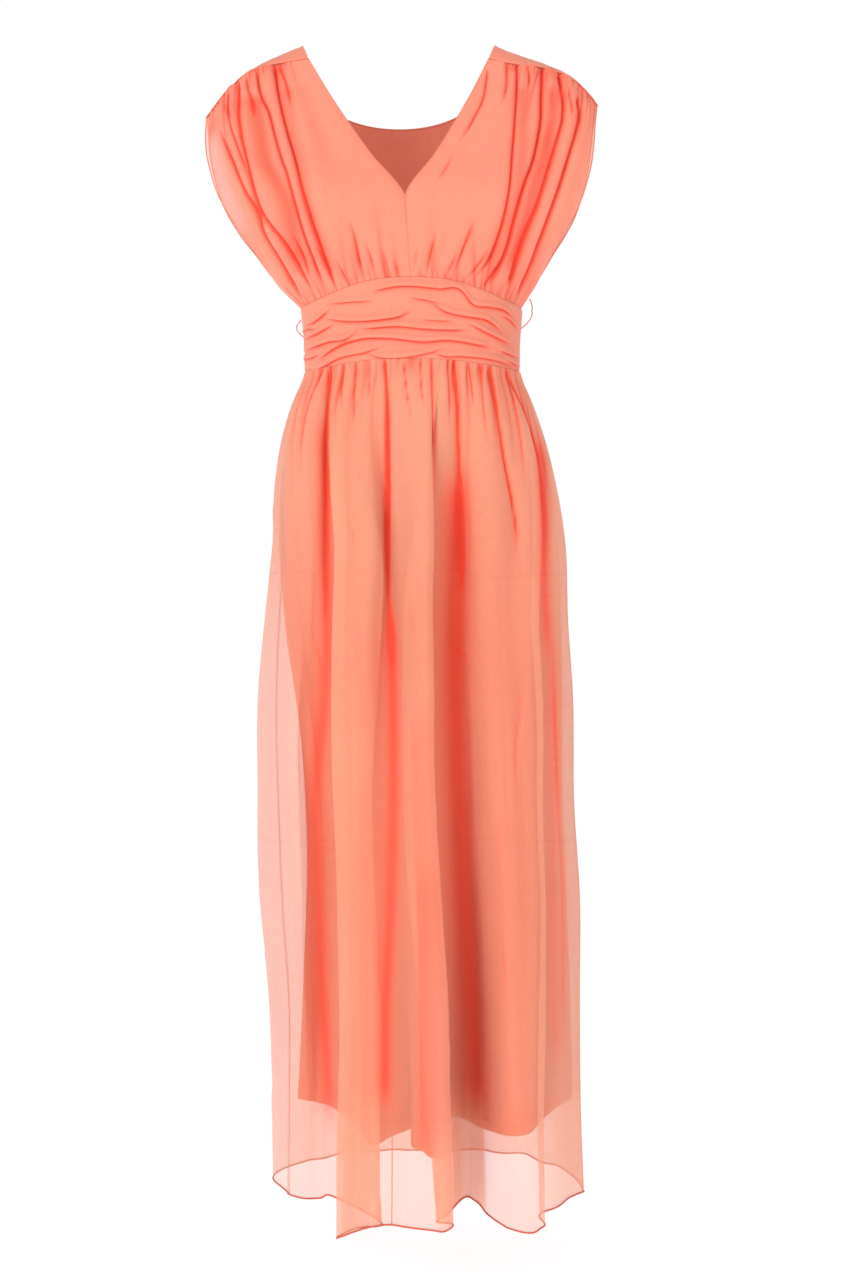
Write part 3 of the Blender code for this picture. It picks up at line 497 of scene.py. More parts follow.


def lapped(points, lines, outward, overhang=0.0014):
    """Lays lapped folds on the waistband. A line is its path, then the width of its dark line, and how far
    out the cloth above it stands and how deep the line is, in millimetres. Also gives painted shade along the
    lines, from 0 to 1."""
    x, drop = points[..., 0], -points[..., 2]
    rise, sink, painted_shade = (np.zeros(points.shape[:2]) for _ in range(3))
    for path, width, lap, depth in lines:
        path = np.array(path, float) / 1000
        start, end = path[0, 0], path[-1, 0]
        below = drop - smooth_between(x, path[:, 0], path[:, 1])
        ends = min(LAP_FADE, (end - start) * 0.4)
        reach = step_up(x, start - LAP_START, start + ends) * (1 - step_up(x, end - ends, end + LAP_START))
        lip_below = bell(LIP_ABOVE, LIP_WIDTH) * bell(below, width / 1500)
        lip = np.where(below < 0, bell(below + LIP_ABOVE, LIP_WIDTH), lip_below)
        line = np.where(below < 0, bell(below, width / 2400), sharp(below, width / 850))
        rise += reach * (lip * lap - line * depth) / 1000
        sink += reach * bell(below + width / 1000, width / 1000) * overhang
        painted_shade += reach * line * depth / LAP_DEEPEST
    moved = points + outward * rise[..., None]
    moved[..., 2] -= sink
    return moved, np.clip(painted_shade, 0, 1)


# %% Gathers along a seam
def gathers(place, below, seed, count, low, high, width, depth, longest):
    """Many small uneven gathers that fade away from a seam: how far the cloth stands out in metres, and the
    painted shade that is deepest inside a gather, from 0 to 1."""
    chance = np.random.default_rng(seed)
    rise, painted_shade = (np.zeros(np.broadcast(place, below).shape) for _ in range(2))
    step = (high - low) / count
    for number in range(count):
        centre = low + step * (number + 0.5 + chance.uniform(-0.36, 0.36))
        lean = chance.uniform(-0.8, 0.8) * step
        length = longest * (0.10 + 0.90 * chance.uniform(0.0, 1.0) ** 1.8)
        wide = width * chance.uniform(0.7, 1.4)
        tall = depth * chance.uniform(0.4, 1.2)
        away = np.hypot(place - centre - lean * below / longest, wide * 0.12)
        line = np.exp(-away / (wide * (1 + below / length))) * np.exp(-((below / length) ** 1.6))
        rise -= tall * line * (0.3 + 0.7 * step_up(below, 0, 0.1 * longest))
        painted_shade += line * tall / depth
    return rise, np.clip(painted_shade, 0, 1)


print("grids, shells and folds are ready")

# %% [markdown]
# ## The bodice
# Each front is one piece of chiffon, gathered along the shoulder yoke and again along the waistband. A sheet
# stretched between its four edges gives the worn form. The long folds fan out from the shoulder and meet at
# the band, and each is drawn where it falls. A cap's free edge is a single layer, so it is sheer there.

# %% Seams of the bodice
SEAM = 0.0003  # between two pieces that are sewn edge to edge
CENTRE_GAP = 0.00003  # the same at the centre seam, on each side
UNDERBUST_FRONT_DROP, UNDERBUST_SIDE_DROP, UNDERBUST_BACK_DROP = 0.2885, 0.3174, 0.3120
WAIST_FRONT_DROP, WAIST_SIDE_DROP, WAIST_BACK_DROP = 0.3835, 0.3943, 0.3925
ARCH_SHARPNESS = 3.2  # how fast the band's arch falls away from the centre
CENTRE_BOW = 0.006  # the centre seam bows forward by this much
V_SHARE = 0.70  # of a front's inner edge is neckline, and the rest is centre seam
V_POINT = (0.0075, -0.108, -0.194)
SHOULDER = table(
    "share  right    left   forward  right_seam  left_seam  right_crest  left_crest",
    (0.00, -0.1105, 0.1087, 0.030, 0.0154, 0.0154, -0.0040, -0.0040),
    (0.20, -0.1360, 0.1380, 0.030, 0.0195, 0.0215, 0.0060, 0.0070),
    (0.42, -0.1650, 0.1720, 0.029, 0.0255, 0.0262, 0.0185, 0.0175),
    (0.55, -0.1810, 0.1930, 0.026, 0.0310, 0.0310, 0.0275, 0.0265),
    (0.70, -0.2005, 0.2145, 0.021, 0.0455, 0.0425, 0.0440, 0.0400),
    (0.85, -0.2180, 0.2310, 0.017, 0.0630, 0.0580, 0.0610, 0.0560),
    (1.00, -0.2340, 0.2404, 0.012, 0.0850, 0.0700, 0.0830, 0.0680),
)
ARMHOLE = table(
    "share   right_x  right_drop  left_x  left_drop  apart",
    (0.00, -0.2340, 0.0850, 0.2404, 0.0700, 0.012),
    (0.08, -0.2345, 0.1030, 0.2375, 0.0930, 0.030),
    (0.18, -0.2330, 0.1290, 0.2350, 0.1210, 0.045),
    (0.28, -0.2275, 0.1546, 0.2310, 0.1500, 0.055),
    (0.38, -0.2200, 0.1790, 0.2235, 0.1780, 0.058),
    (0.50, -0.2080, 0.2030, 0.2139, 0.2030, 0.056),
    (0.62, -0.1926, 0.2266, 0.2009, 0.2266, 0.048),
    (0.74, -0.1750, 0.2496, 0.1868, 0.2496, 0.031),
    (0.80, -0.1668, 0.2616, 0.1804, 0.2616, 0.019),
    (0.86, -0.1580, 0.2740, 0.1735, 0.2740, 0.006),
    (0.92, -0.1465, 0.2905, 0.1648, 0.2905, 0.000),
    (1.00, -0.1190, 0.3174, 0.1480, 0.3174, 0.000),
)
NECKLINE = table(
    "share   right_x   left_x   forward   drop",
    (0.00, -0.1105, 0.1087, 0.030, 0.0154),
    (0.26, -0.0780, 0.0815, 0.062, 0.0725),
    (0.50, -0.0345, 0.0440, 0.092, 0.1390),
    (0.70, 0.0075, 0.0075, 0.108, 0.1940),
    (0.86, 0.0130, 0.0130, 0.110, 0.2450),
    (1.00, 0.0180, 0.0180, 0.098, 0.2885),
)
BACK_NECK = {"share": 0.357, "back": 0.082, "drop": 0.085}
BAND = table(
    "drop  right   left   front   back",
    (0.280, -0.1190, 0.1480, 0.0975, 0.0940),
    (0.318, -0.1185, 0.1475, 0.0970, 0.0940),
    (0.350, -0.1150, 0.1455, 0.0950, 0.0930),
    (0.396, -0.1128, 0.1440, 0.0935, 0.0925),
)
BUST = {"share": 0.42, "height": 0.62, "out": 0.024, "width": 0.30, "tall": 0.26}
BLADES = {"share": 0.50, "height": 0.30, "out": 0.004, "width": 0.36, "tall": 0.30}


def read(source, share, *names):
    return [smooth_between(share, source["share"], source[name]) for name in names]


def arch(degrees, centre_drop, side_drop):
    return side_drop + (centre_drop - side_drop) * np.cos(np.radians(degrees)) ** ARCH_SHARPNESS


def shoulder_seam(hand, side, share):
    x, forward, drop = read(SHOULDER, share, hand, "forward", hand + "_seam")
    return np.stack([x, side * (forward + SEAM), -drop - SEAM], axis=-1)


def band_top(hand, side, share):
    angle = (-90 if hand == "right" else 90) * share
    across, along = round_section(angle, side)
    centre = UNDERBUST_FRONT_DROP if side < 0 else UNDERBUST_BACK_DROP
    points = placed(BAND, arch(angle, centre, UNDERBUST_SIDE_DROP), across, along)
    points[:, 2] += SEAM
    points[:, 1] += side * SEAM / 2
    return points


def armhole_edge(hand, side, share):
    x, drop, apart = read(ARMHOLE, share, hand + "_x", hand + "_drop", "apart")
    points = np.stack([x, side * np.maximum(apart, SEAM / 2), -drop], axis=-1)
    points += (shoulder_seam(hand, side, np.array([1.0]))[0] - points[0]) * ((1 - share) ** 6)[:, None]
    return points + (band_top(hand, side, np.array([1.0]))[0] - points[-1]) * (share**6)[:, None]


def inner_edge(hand, share):
    """The neckline down to the point of the V, then the centre seam down to the band."""
    x, forward, drop = read(NECKLINE, share, hand + "_x", "forward", "drop")
    line = np.stack([x, -forward, -drop], axis=-1)
    top, bottom = shoulder_seam(hand, -1, np.array([0.0]))[0], band_top(hand, -1, np.array([0.0]))[0]
    above = share <= V_SHARE
    part = np.where(above, share / V_SHARE, (share - V_SHARE) / (1 - V_SHARE))
    line[above] += (top - line[0]) * ((1 - part[above]) ** 2)[:, None]
    line[~above] = np.array(V_POINT) + (bottom - V_POINT) * part[~above][:, None]
    line[~above, 1] -= CENTRE_BOW * np.sin(np.pi * part[~above])
    line[:, 0] += (-1 if hand == "right" else 1) * CENTRE_GAP
    return line


# %% A sheet stretched between four edges
def patch(top, bottom, inner, outer, columns, rows):
    u, v = (grid[..., None] for grid in np.meshgrid(columns, rows))
    sheet = (1 - v) * top(columns)[None] + v * bottom(columns)[None]
    sheet = sheet + (1 - u) * inner(rows)[:, None] + u * outer(rows)[:, None]
    (a, b), (c, d) = top(np.array([0.0, 1.0])), bottom(np.array([0.0, 1.0]))
    return sheet - ((1 - v) * ((1 - u) * a + u * b) + v * ((1 - u) * c + u * d))


def swell(points, u, v, form, side):
    """Rounds a panel out over the bust or the shoulder blades, and leaves its edges where they are."""
    lump = bell(u - form["share"], form["width"]) * bell(v - form["height"], form["tall"])
    lump = lump * np.clip(np.sin(np.pi * u), 0, 1) ** 0.5 * np.clip(np.sin(np.pi * v), 0, 1) ** 0.7
    points[..., 1] += side * form["out"] * lump
    return points


# %% The folds of a panel
YOKE_EDGE = 0.09  # drop: a crease that starts above this comes from under the yoke
CALM = 0.1  # share of the height, at the top and the bottom, where the seams hold the cloth smooth
# share of the gathers' painted shade that the bodice gets
GATHER_SHADE = 0.75


def folds_and_painted_shade(points, u, v, gathered, painted_shade, waves, creases, margin):
    """Lays a panel's gathers, soft waves and creases on it, all of them fading out towards its side edges. A
    wave is its height, its steps across, where they start, its steps down, and its seed. Also gives the
    painted shade of the gathers and creases, which fades out the same way."""
    out = normals_of(points)
    edge = step_up(u, 0.0, margin) * step_up(1 - u, 0.0, margin)
    soft = uneven([(height, u * wide + start, v * tall, seed) for height, wide, start, tall, seed in waves])
    soft = soft * step_up(v, 0, CALM) * step_up(1 - v, 0, CALM)
    points = points + out * ((gathered + soft) * edge)[..., None]
    # lines here is the painted shade of the creases
    points, lines = creased(points, creases, out * edge[..., None], seam=YOKE_EDGE)
    return points, u, v, np.clip(GATHER_SHADE * painted_shade + lines, 0, 1) * edge


# %% The creases of the fronts: path, line width, line depth, ridge width, ridge height
RIGHT_CREASES = (
    (((-143, 27), (-132, 63), (-129, 84)), 2.6, 4.0, 5, 1.4),
    (((-151, 30), (-147, 56), (-141, 85), (-134, 112), (-124, 147), (-114, 195), (-105, 225), (-93, 258),
      (-75, 301)), 3.0, 7.0, -7, 3.6),
    (((-136, 60), (-127, 112), (-117, 150), (-109, 195), (-101, 225), (-86, 262),
      (-62, 298)), 8.0, 3.0, 10, 2.0),
    (((-172, 40), (-167, 63), (-157, 85), (-150, 111), (-140, 147), (-133, 167), (-127, 192), (-120, 220),
      (-104, 263), (-88, 300)), 2.8, 6.0, -7, 3.0),
    (((-195, 52), (-195, 85), (-191, 111), (-183, 147), (-177, 175), (-164, 213), (-146, 237),
      (-126, 268), (-100, 307)), 2.8, 6.5, -6, 3.4),
    (((-176, 70), (-168, 110), (-160, 150), (-147, 175), (-134, 206), (-122, 255),
      (-106, 290)), 13.0, 7.5, -9, 0.0),
    (((-207, 79), (-201, 105), (-192, 132), (-179, 172)), 2.4, 4.5, 5, 1.8),
    (((-220, 96), (-213, 116), (-200, 146), (-183, 185), (-169, 211), (-160, 236), (-142, 266),
      (-125, 296), (-114, 312)), 2.8, 6.0, -5, 3.0),
    (((-184, 48), (-180, 66), (-176, 92)), 3.0, 4.0, -5, 1.8),
    (((-206, 66), (-205, 82), (-199, 100)), 2.4, 3.4, -4, 1.6),
    (((-132, 232), (-118, 262), (-102, 296)), 2.4, 4.0, -4, 2.0),
    (((-104, 240), (-90, 270), (-76, 297)), 2.4, 3.4, 4, 1.6),
    (((-118, 60), (-100, 110), (-80, 160)), 12.0, 1.6, 16, 1.0),
    (((-60, 215), (-50, 250), (-44, 292)), 2.8, 3.0, 5, 1.8),
    (((-77, 262), (-66, 284), (-56, 303)), 2.2, 3.4, 4, 1.6),
    (((-40, 243), (-32, 270), (-27, 293)), 2.4, 3.2, 4, 1.8),
    (((-20, 255), (-14, 275), (-11, 291)), 2.2, 2.6, 4, 1.2),
    (((-54, 236), (-49, 260), (-38, 296)), 2.0, 2.4, 3, 1.2),
    (((-8, 262), (-3, 278), (-1, 291)), 2.0, 2.2, 3, 1.0),
)
LEFT_CREASES = (
    (((106, 38), (100, 71), (86, 101), (69, 131)), 2.4, 3.8, -4, 1.6),
    (((67, 136), (60, 150), (43, 180)), 2.4, 2.8, -4, 1.4),
    (((130, 24), (129, 52), (121, 84)), 3.0, 3.6, -4, 1.6),
    (((143, 27), (142, 58), (139, 98), (136, 138), (130, 202), (123, 232), (106, 270),
      (86, 292)), 2.8, 6.0, 7, 3.0),
    (((150, 60), (149, 110), (145, 160), (134, 215), (118, 260), (100, 290)), 8.0, 4.2, 10, 0.0),
    (((186, 60), (184, 90), (176, 130), (166, 165), (155, 205), (144, 245), (130, 285)), 8.5, 5.5, 8, 0.0),
    (((174, 32), (172, 64), (171, 97), (168, 116), (162, 147), (153, 174), (138, 226), (130, 255),
      (122, 273), (105, 300)), 3.2, 8.0, 7, 3.8),
    (((194, 38), (199, 64), (198, 93), (191, 121), (184, 147), (167, 204), (153, 238), (137, 280),
      (124, 302)), 2.8, 6.5, 6, 3.2),
    (((216, 71), (218, 84), (214, 107), (205, 138), (194, 174), (181, 211), (169, 244), (150, 291),
      (139, 312)), 2.8, 6.5, 6, 3.2),
    (((184, 90), (179, 140), (164, 195), (146, 245), (122, 296)), 8.0, 2.6, 8, 0.0),
    (((205, 60), (208, 78), (207, 96)), 3.0, 3.2, 4, 1.4),
    (((156, 30), (157, 44), (155, 60)), 2.4, 3.2, 3, 1.4),
    (((46, 232), (38, 262), (31, 294)), 2.8, 4.0, 4, 2.0),
    (((92, 216), (80, 246), (62, 292)), 2.8, 4.0, -6, 1.8),
    (((110, 250), (96, 272), (74, 296)), 2.2, 3.4, 4, 1.6),
    (((72, 254), (62, 276), (52, 293)), 2.4, 3.2, 4, 1.4),
    (((128, 262), (112, 284), (96, 304)), 2.4, 4.0, 4, 2.0),
    (((24, 250), (19, 272), (15, 291)), 2.2, 2.8, 3, 1.2),
)

# %% The fronts
FRONT_WAVES = ((0.0009, 14, 0, 5, 3), (0.0018, 5, 7, 3, 4))
GATHER_SEEDS = {"right": (11, 21), "left": (12, 22)}  # at the yoke, and at the band


def front_points(hand, columns=176, rows=136):
    across, down = np.linspace(0, 1, columns + 1), np.linspace(0, 1, rows + 1)
    ends = inner_edge(hand, np.array([0.0, 1.0]))

    def top(share):
        line = shoulder_seam(hand, -1, share)
        return line + (ends[0] - line[0]) * ((1 - share) ** 4)[:, None]

    def bottom(share):
        line = band_top(hand, -1, share)
        return line + (ends[1] - line[0]) * ((1 - share) ** 4)[:, None]

    inner, outer = (lambda v: inner_edge(hand, v)), (lambda v: armhole_edge(hand, -1, v))
    points = patch(top, bottom, inner, outer, across, down)
    u, v = np.meshgrid(across, down)
    points = swell(points, u, v, BUST, -1)
    yoke_seed, band_seed = GATHER_SEEDS[hand]
    sizes = {"count": 26, "high": 0.99, "width": 0.0075}
    # Gathers at the yoke and at the band, and the painted shade of each
    at_yoke, painted_shade = gathers(u, v, yoke_seed, low=0.16, depth=0.0042, longest=0.22, **sizes)
    at_band, more = gathers(u, 1 - v, band_seed, low=0.02, depth=0.0034, longest=0.17, **sizes)
    grids = turned_round(hand == "right", points, u, v, at_yoke + at_band, painted_shade + more)
    return folds_and_painted_shade(*grids, FRONT_WAVES, RIGHT_CREASES if hand == "right" else LEFT_CREASES, margin=0.03)


CAP_SHEER = {"right": (0.78, 0.93, 0.50), "left": (0.86, 0.97, 0.28)}  # from, to, and how sheer


def cap_opacity(hand, u, v):
    """Backed cloth over the body, and one sheer layer along the cap's free edge."""
    start, end, sheer = CAP_SHEER[hand]
    return 1 - sheer * step_up(u, start, end) * step_up(v, 0.03, 0.14) * (1 - step_up(v, 0.50, 0.80))


bodice, fronts = [], {}
for hand in ("right", "left"):
    fronts[hand], u, v, painted_shade = front_points(hand)
    seen = cap_opacity(hand, u, v)
    name = "bodice_front_" + hand + "_cloth"
    bodice.append(shell(name, fronts[hand], bodice_chiffon, opacity=seen, painted_shade=painted_shade))

# %% The creases of the back
BACK_CREASES = (
    (((-150, 40), (-140, 90), (-124, 160), (-104, 230), (-84, 296)), 2.8, 5.5, -6, 2.4),
    (((-176, 46), (-168, 100), (-150, 170), (-126, 238), (-98, 304)), 2.8, 5.5, -6, 2.6),
    (((-202, 70), (-196, 120), (-178, 180), (-148, 250), (-112, 308)), 2.6, 5.0, -6, 2.4),
    (((-132, 40), (-120, 100), (-100, 170), (-70, 290)), 9.0, 3.0, 10, 1.2),
    (((-60, 190), (-48, 240), (-40, 300)), 4.0, 2.2, 6, 1.2),
    (((-22, 230), (-12, 270), (-8, 306)), 3.0, 1.8, 5, 1.0),
    (((36, 216), (34, 262), (30, 306)), 3.4, 2.0, 5, 1.0),
    (((78, 200), (68, 250), (58, 302)), 4.0, 2.4, -6, 1.4),
    (((142, 40), (136, 100), (118, 180), (92, 250), (78, 300)), 2.8, 5.0, 6, 2.4),
    (((170, 44), (166, 110), (148, 190), (124, 250), (104, 304)), 2.8, 6.0, 6, 2.6),
    (((196, 52), (196, 110), (178, 180), (156, 240), (130, 308)), 2.6, 5.0, 6, 2.4),
    (((216, 80), (212, 124), (196, 180), (168, 250)), 2.6, 4.5, 5, 2.0),
)


# %% The back of the bodice
BACK_WAVES = ((0.0010, 22, 0, 5, 5), (0.0018, 8, 0, 3, 6))


def back_top(share):
    """Up one shoulder seam, round the scooped neck and down the other seam."""
    neck = BACK_NECK["share"]
    points = np.zeros((len(share), 3))
    right, left = share <= neck, share >= 1 - neck
    points[right] = shoulder_seam("right", 1, 1 - share[right] / neck)
    points[left] = shoulder_seam("left", 1, (share[left] - 1 + neck) / neck)
    scoop = ~(right | left)
    start, end = (shoulder_seam(hand, 1, np.array([0.0]))[0] for hand in ("right", "left"))
    part = (share[scoop] - neck) / (1 - 2 * neck)
    line = start + (end - start) * ((1 - np.cos(np.pi * part)) / 2)[:, None]
    dip = np.sin(np.pi * part) ** 0.8
    line[:, 1] += (BACK_NECK["back"] - start[1]) * dip
    line[:, 2] -= (BACK_NECK["drop"] + start[2]) * dip
    points[scoop] = line
    return points


def back_points(columns=224, rows=96):
    across, down = np.linspace(0, 1, columns + 1), np.linspace(0, 1, rows + 1)

    def bottom(share):
        right = band_top("right", 1, np.clip(1 - 2 * share, 0, 1))
        return np.where((share < 0.5)[:, None], right, band_top("left", 1, np.clip(2 * share - 1, 0, 1)))

    right_edge, left_edge = (lambda v: armhole_edge("right", 1, v)), (lambda v: armhole_edge("left", 1, v))
    points = patch(back_top, bottom, right_edge, left_edge, across, down)
    u, v = np.meshgrid(across, down)
    points = swell(points, u, v, BLADES, 1)
    neck = BACK_NECK["share"]
    seam = step_up(np.abs(u - 0.5), 0.5 - neck, 0.5 - neck + 0.04)
    sizes = {"low": 0.01, "high": 0.99, "width": 0.0042}
    # Gathers at the yoke and at the band, and the painted shade of each
    at_yoke, painted_shade = gathers(u, v, 31, count=44, depth=0.0042, longest=0.20, **sizes)
    at_band, more = gathers(u, 1 - v, 32, count=46, depth=0.0034, longest=0.16, **sizes)
    grids = turned_round(True, points, u, v, at_yoke * seam + at_band, painted_shade * seam + more)
    return folds_and_painted_shade(*grids, BACK_WAVES, BACK_CREASES, margin=0.02)


back, u, v, painted_shade = back_points()
from_middle = np.abs(2 * u - 1)
seen = np.where(u < 0.5, cap_opacity("right", from_middle, v), cap_opacity("left", from_middle, v))
bodice.append(shell("bodice_back_cloth", back, bodice_chiffon, opacity=seen, painted_shade=painted_shade))

# %% [markdown]
# ## The shoulder yokes
# A yoke is a strip of doubled cloth, cut across the shoulder. It is smooth, because nothing is gathered into
# its own width, and its two long edges are turned under and stitched down over the gathers of the front and
# back. It is a little thicker than the rest, and its edges stand proud of the gathers.

# %% Yokes
YOKE_PARTS = np.linspace(1.0, -1.0, 25)  # from the back edge over the shoulder to the front edge
YOKE_WALL = 0.0009
YOKE_PROUD = 0.0012  # of the turned edges over the gathers
YOKE_LEAST = 0.35  # of that, in the middle of the yoke
YOKE_TURNED = (0.9, 1.0)  # where the turned edge starts and ends
YOKE_DIP = 0.0016  # of the turned edge below the seam
YOKE_WIDER = 0.0010
YOKE_NECK_BOW = 0.007  # the neck edge curves in by this much at the top of the shoulder


def yoke_points(hand, columns=72):
    share = np.linspace(0, 1, columns + 1)
    x, forward, seam, crest = read(SHOULDER, share, hand, "forward", hand + "_seam", hand + "_crest")
    part = YOKE_PARTS[:, None]
    turned = step_up(np.abs(part), *YOKE_TURNED)
    drop = crest + (seam - crest) * part**2 + turned * YOKE_DIP
    outer = (-1 if hand == "right" else 1) * YOKE_NECK_BOW * (1 - share) ** 3 * (1 - part**2)
    points = np.stack([x + outer, part * (forward + YOKE_WIDER), -drop], axis=-1)
    (points,) = turned_round(hand == "right", points)
    out = normals_of(points)
    wave = uneven(((0.0006, share[None] * 9, part * 2 + 3, 8), (0.0003, share[None] * 40, part * 3 + 3, 9)))
    return points + out * (YOKE_PROUD * (YOKE_LEAST + (1 - YOKE_LEAST) * turned) + wave)[..., None]


yokes = [
    shell("shoulder_yoke_" + hand + "_cloth", yoke_points(hand), backed_chiffon, wall=YOKE_WALL)
    for hand in ("right", "left")
]

# %% [markdown]
# ## The waistband
# The band is a firm shaped piece covered with a wider strip of chiffon, laid in flat uneven folds and held at
# the side seams. Each fold laps over the one below it, so a thin dark line runs under its edge, deepened with
# painted shade. The lines cross, end and start again, which is why they are drawn one by one.

# %% Folds of the waistband: path, line width, lap, depth
BAND_FRONT_LINES = (
    (((-35, 306), (-7, 299), (48, 301), (76, 304), (86, 317), (107, 321), (124, 323),
      (144, 338)), 1.5, 3.0, 2.4),
    (((-88, 318), (-58, 316), (-27, 316)), 1.4, 2.4, 1.9),
    (((-112, 340), (-104, 338), (-81, 323)), 1.5, 2.7, 2.2),
    (((-91, 334), (-56, 339), (-16, 337), (1, 334), (19, 324)), 1.5, 3.3, 2.4),
    (((12, 312), (38, 316), (52, 321)), 1.4, 2.4, 1.9),
    (((-118, 356), (-104, 353), (-74, 340)), 1.5, 2.7, 2.2),
    (((36, 316), (51, 326), (85, 334), (105, 337), (129, 355)), 1.5, 3.3, 2.4),
    (((-118, 370), (-107, 368), (-83, 362), (-58, 358), (-44, 345)), 1.5, 3.3, 2.4),
    (((-48, 349), (1, 346), (31, 349), (84, 350)), 1.4, 3.3, 2.4),
    (((25, 338), (68, 340)), 1.3, 2.0, 1.6),
    (((-100, 386), (-76, 370), (-43, 360), (-10, 360), (31, 364), (57, 362), (91, 366),
      (113, 370)), 1.5, 3.6, 2.7),
    (((-112, 394), (-99, 394), (-70, 382), (-39, 376), (-19, 370)), 1.4, 2.7, 2.2),
    (((-41, 377), (-26, 382), (19, 381), (37, 377), (56, 371)), 1.4, 2.4, 1.9),
    (((79, 340), (105, 352), (124, 360), (139, 366)), 1.5, 3.3, 2.4),
    (((120, 372), (131, 375), (144, 378)), 1.4, 2.4, 2.2),
    (((128, 383), (146, 389)), 1.4, 2.1, 1.9),
    (((38, 375), (49, 380), (76, 381), (123, 386), (142, 392)), 1.4, 2.7, 2.2),
    (((-120, 346), (-108, 344), (-98, 347)), 1.3, 2.0, 1.8),
    (((-120, 378), (-106, 379), (-94, 376)), 1.3, 2.0, 1.8),
    (((122, 330), (132, 334), (145, 346)), 1.3, 2.1, 1.9),
)
BAND_BACK_LINES = (
    (((-116, 338), (-60, 330), (0, 326), (70, 329), (142, 336)), 1.5, 3.3, 2.4),
    (((-118, 352), (-80, 348), (-30, 345), (10, 348)), 1.5, 3.0, 2.4),
    (((-10, 342), (50, 344), (100, 350), (146, 354)), 1.5, 3.0, 2.4),
    (((-118, 368), (-70, 362), (0, 362), (60, 366), (100, 364)), 1.5, 3.3, 2.4),
    (((70, 358), (110, 364), (146, 370)), 1.4, 2.7, 2.2),
    (((-116, 384), (-60, 378), (-10, 378)), 1.5, 2.7, 2.2),
    (((-30, 374), (40, 379), (90, 380), (142, 386)), 1.5, 3.0, 2.4),
    (((-100, 322), (-60, 318), (-20, 322)), 1.4, 2.1, 1.9),
    (((40, 318), (90, 322), (120, 332)), 1.4, 2.1, 1.9),
)

# %% The waistband
BAND_WALL = 0.0009
BAND_LAP = 0.0008  # over the bodice at its top edge, and over the skirt at its bottom edge
BAND_OUT, BAND_CROWN = 0.0006, 0.0010  # its edges stand proud of the solid, and its middle a little more


def band_points(lines, side, columns, rows=92):
    angle = np.linspace(-90, 90, columns + 1)
    across, along = round_section(angle, side)
    middle = (UNDERBUST_FRONT_DROP, WAIST_FRONT_DROP) if side < 0 else (UNDERBUST_BACK_DROP, WAIST_BACK_DROP)
    top, bottom = arch(angle, middle[0], UNDERBUST_SIDE_DROP), arch(angle, middle[1], WAIST_SIDE_DROP)
    share = np.linspace(0, 1, rows + 1)[:, None]
    points = placed(BAND, top + (bottom - top) * share, across + 0 * share, along + 0 * share)
    outward = np.stack([across, along, 0 * across], axis=-1)
    outward = outward / np.linalg.norm(outward, axis=-1, keepdims=True) + 0 * share[..., None]
    calm = step_up(share, 0, 0.05) * step_up(1 - share, 0, 0.05)
    puffy = uneven(((0.0005, angle[None] / 14 + 9, share * 7, 14), (0.0004, angle[None] / 5, share * 16, 15)))
    points = points + outward * (BAND_OUT + (BAND_CROWN + puffy) * calm)[..., None]
    points[..., 2] += BAND_LAP * (1 - 2 * share)
    return turned_round(side > 0, *lapped(points, lines, outward))


bands = []
for name, lines, side, columns in (("front", BAND_FRONT_LINES, -1, 190), ("back", BAND_BACK_LINES, 1, 150)):
    points, painted_shade = band_points(lines, side, columns)
    bands.append(shell("waistband_" + name + "_cloth", points, backed_chiffon, wall=BAND_WALL, painted_shade=painted_shade))

# %% [markdown]
# ## The skirts
# The outer skirt is a front and a back panel of sheer chiffon, far wider than the waist they are gathered to.
# The cloth falls into a few deep folds, and the deepest roll over and hide part of the cloth behind them. So
# a fold's row in the table may step back across the row before it, which a solid wall can't do. Between the
# large folds, dozens of short gathers leave the waist seam and die out at different lengths.

# %% Sections and folds of the skirts
HIP_DROP, KNEE_DROP, HEM_DROP, LINING_HEM_DROP = 0.56, 0.915, 1.395, 1.285
ROWS_CLOSER = 1.25  # power of a row's share of the length, so rows lie closer together by the waist
HIP_SHARE = 0.52  # of the way from the waist to the knee, where a table has no column for the hip
SKIRT = table(
    "drop  right   left   front   back",
    (0.380, -0.1128, 0.1446, 0.0940, 0.0930),
    (0.400, -0.1180, 0.1490, 0.0970, 0.0960),
    (0.427, -0.1312, 0.1604, 0.1040, 0.1050),
    (0.476, -0.1470, 0.1775, 0.1150, 0.1190),
    (0.525, -0.1543, 0.1897, 0.1250, 0.1330),
    (0.598, -0.1580, 0.2019, 0.1370, 0.1500),
    (0.696, -0.1678, 0.2056, 0.1510, 0.1720),
    (0.793, -0.1750, 0.2117, 0.1650, 0.1920),
    (0.915, -0.1750, 0.2129, 0.1800, 0.2150),
    (1.037, -0.1714, 0.2202, 0.1910, 0.2300),
    (1.159, -0.1620, 0.2202, 0.2010, 0.2430),
    (1.281, -0.1604, 0.2214, 0.2090, 0.2540),
    (1.410, -0.1600, 0.2260, 0.2150, 0.2620),
)
LINING = table(
    "drop  right   left   front   back",
    (0.380, -0.1068, 0.1386, 0.0884, 0.0872),
    (0.427, -0.1225, 0.1515, 0.0945, 0.0955),
    (0.476, -0.1370, 0.1685, 0.1025, 0.1055),
    (0.525, -0.1445, 0.1815, 0.1095, 0.1155),
    (0.598, -0.1475, 0.1925, 0.1185, 0.1285),
    (0.696, -0.1409, 0.1970, 0.1290, 0.1440),
    (0.843, -0.1213, 0.1980, 0.1430, 0.1630),
    (0.941, -0.1150, 0.2000, 0.1520, 0.1740),
    (1.149, -0.1190, 0.2090, 0.1740, 0.1910),
    (1.320, -0.1270, 0.2140, 0.1870, 0.2020),
)
FOLD_COLUMNS = "waist  knee_x  knee_y   hem_x  hem_y  hem_dip"
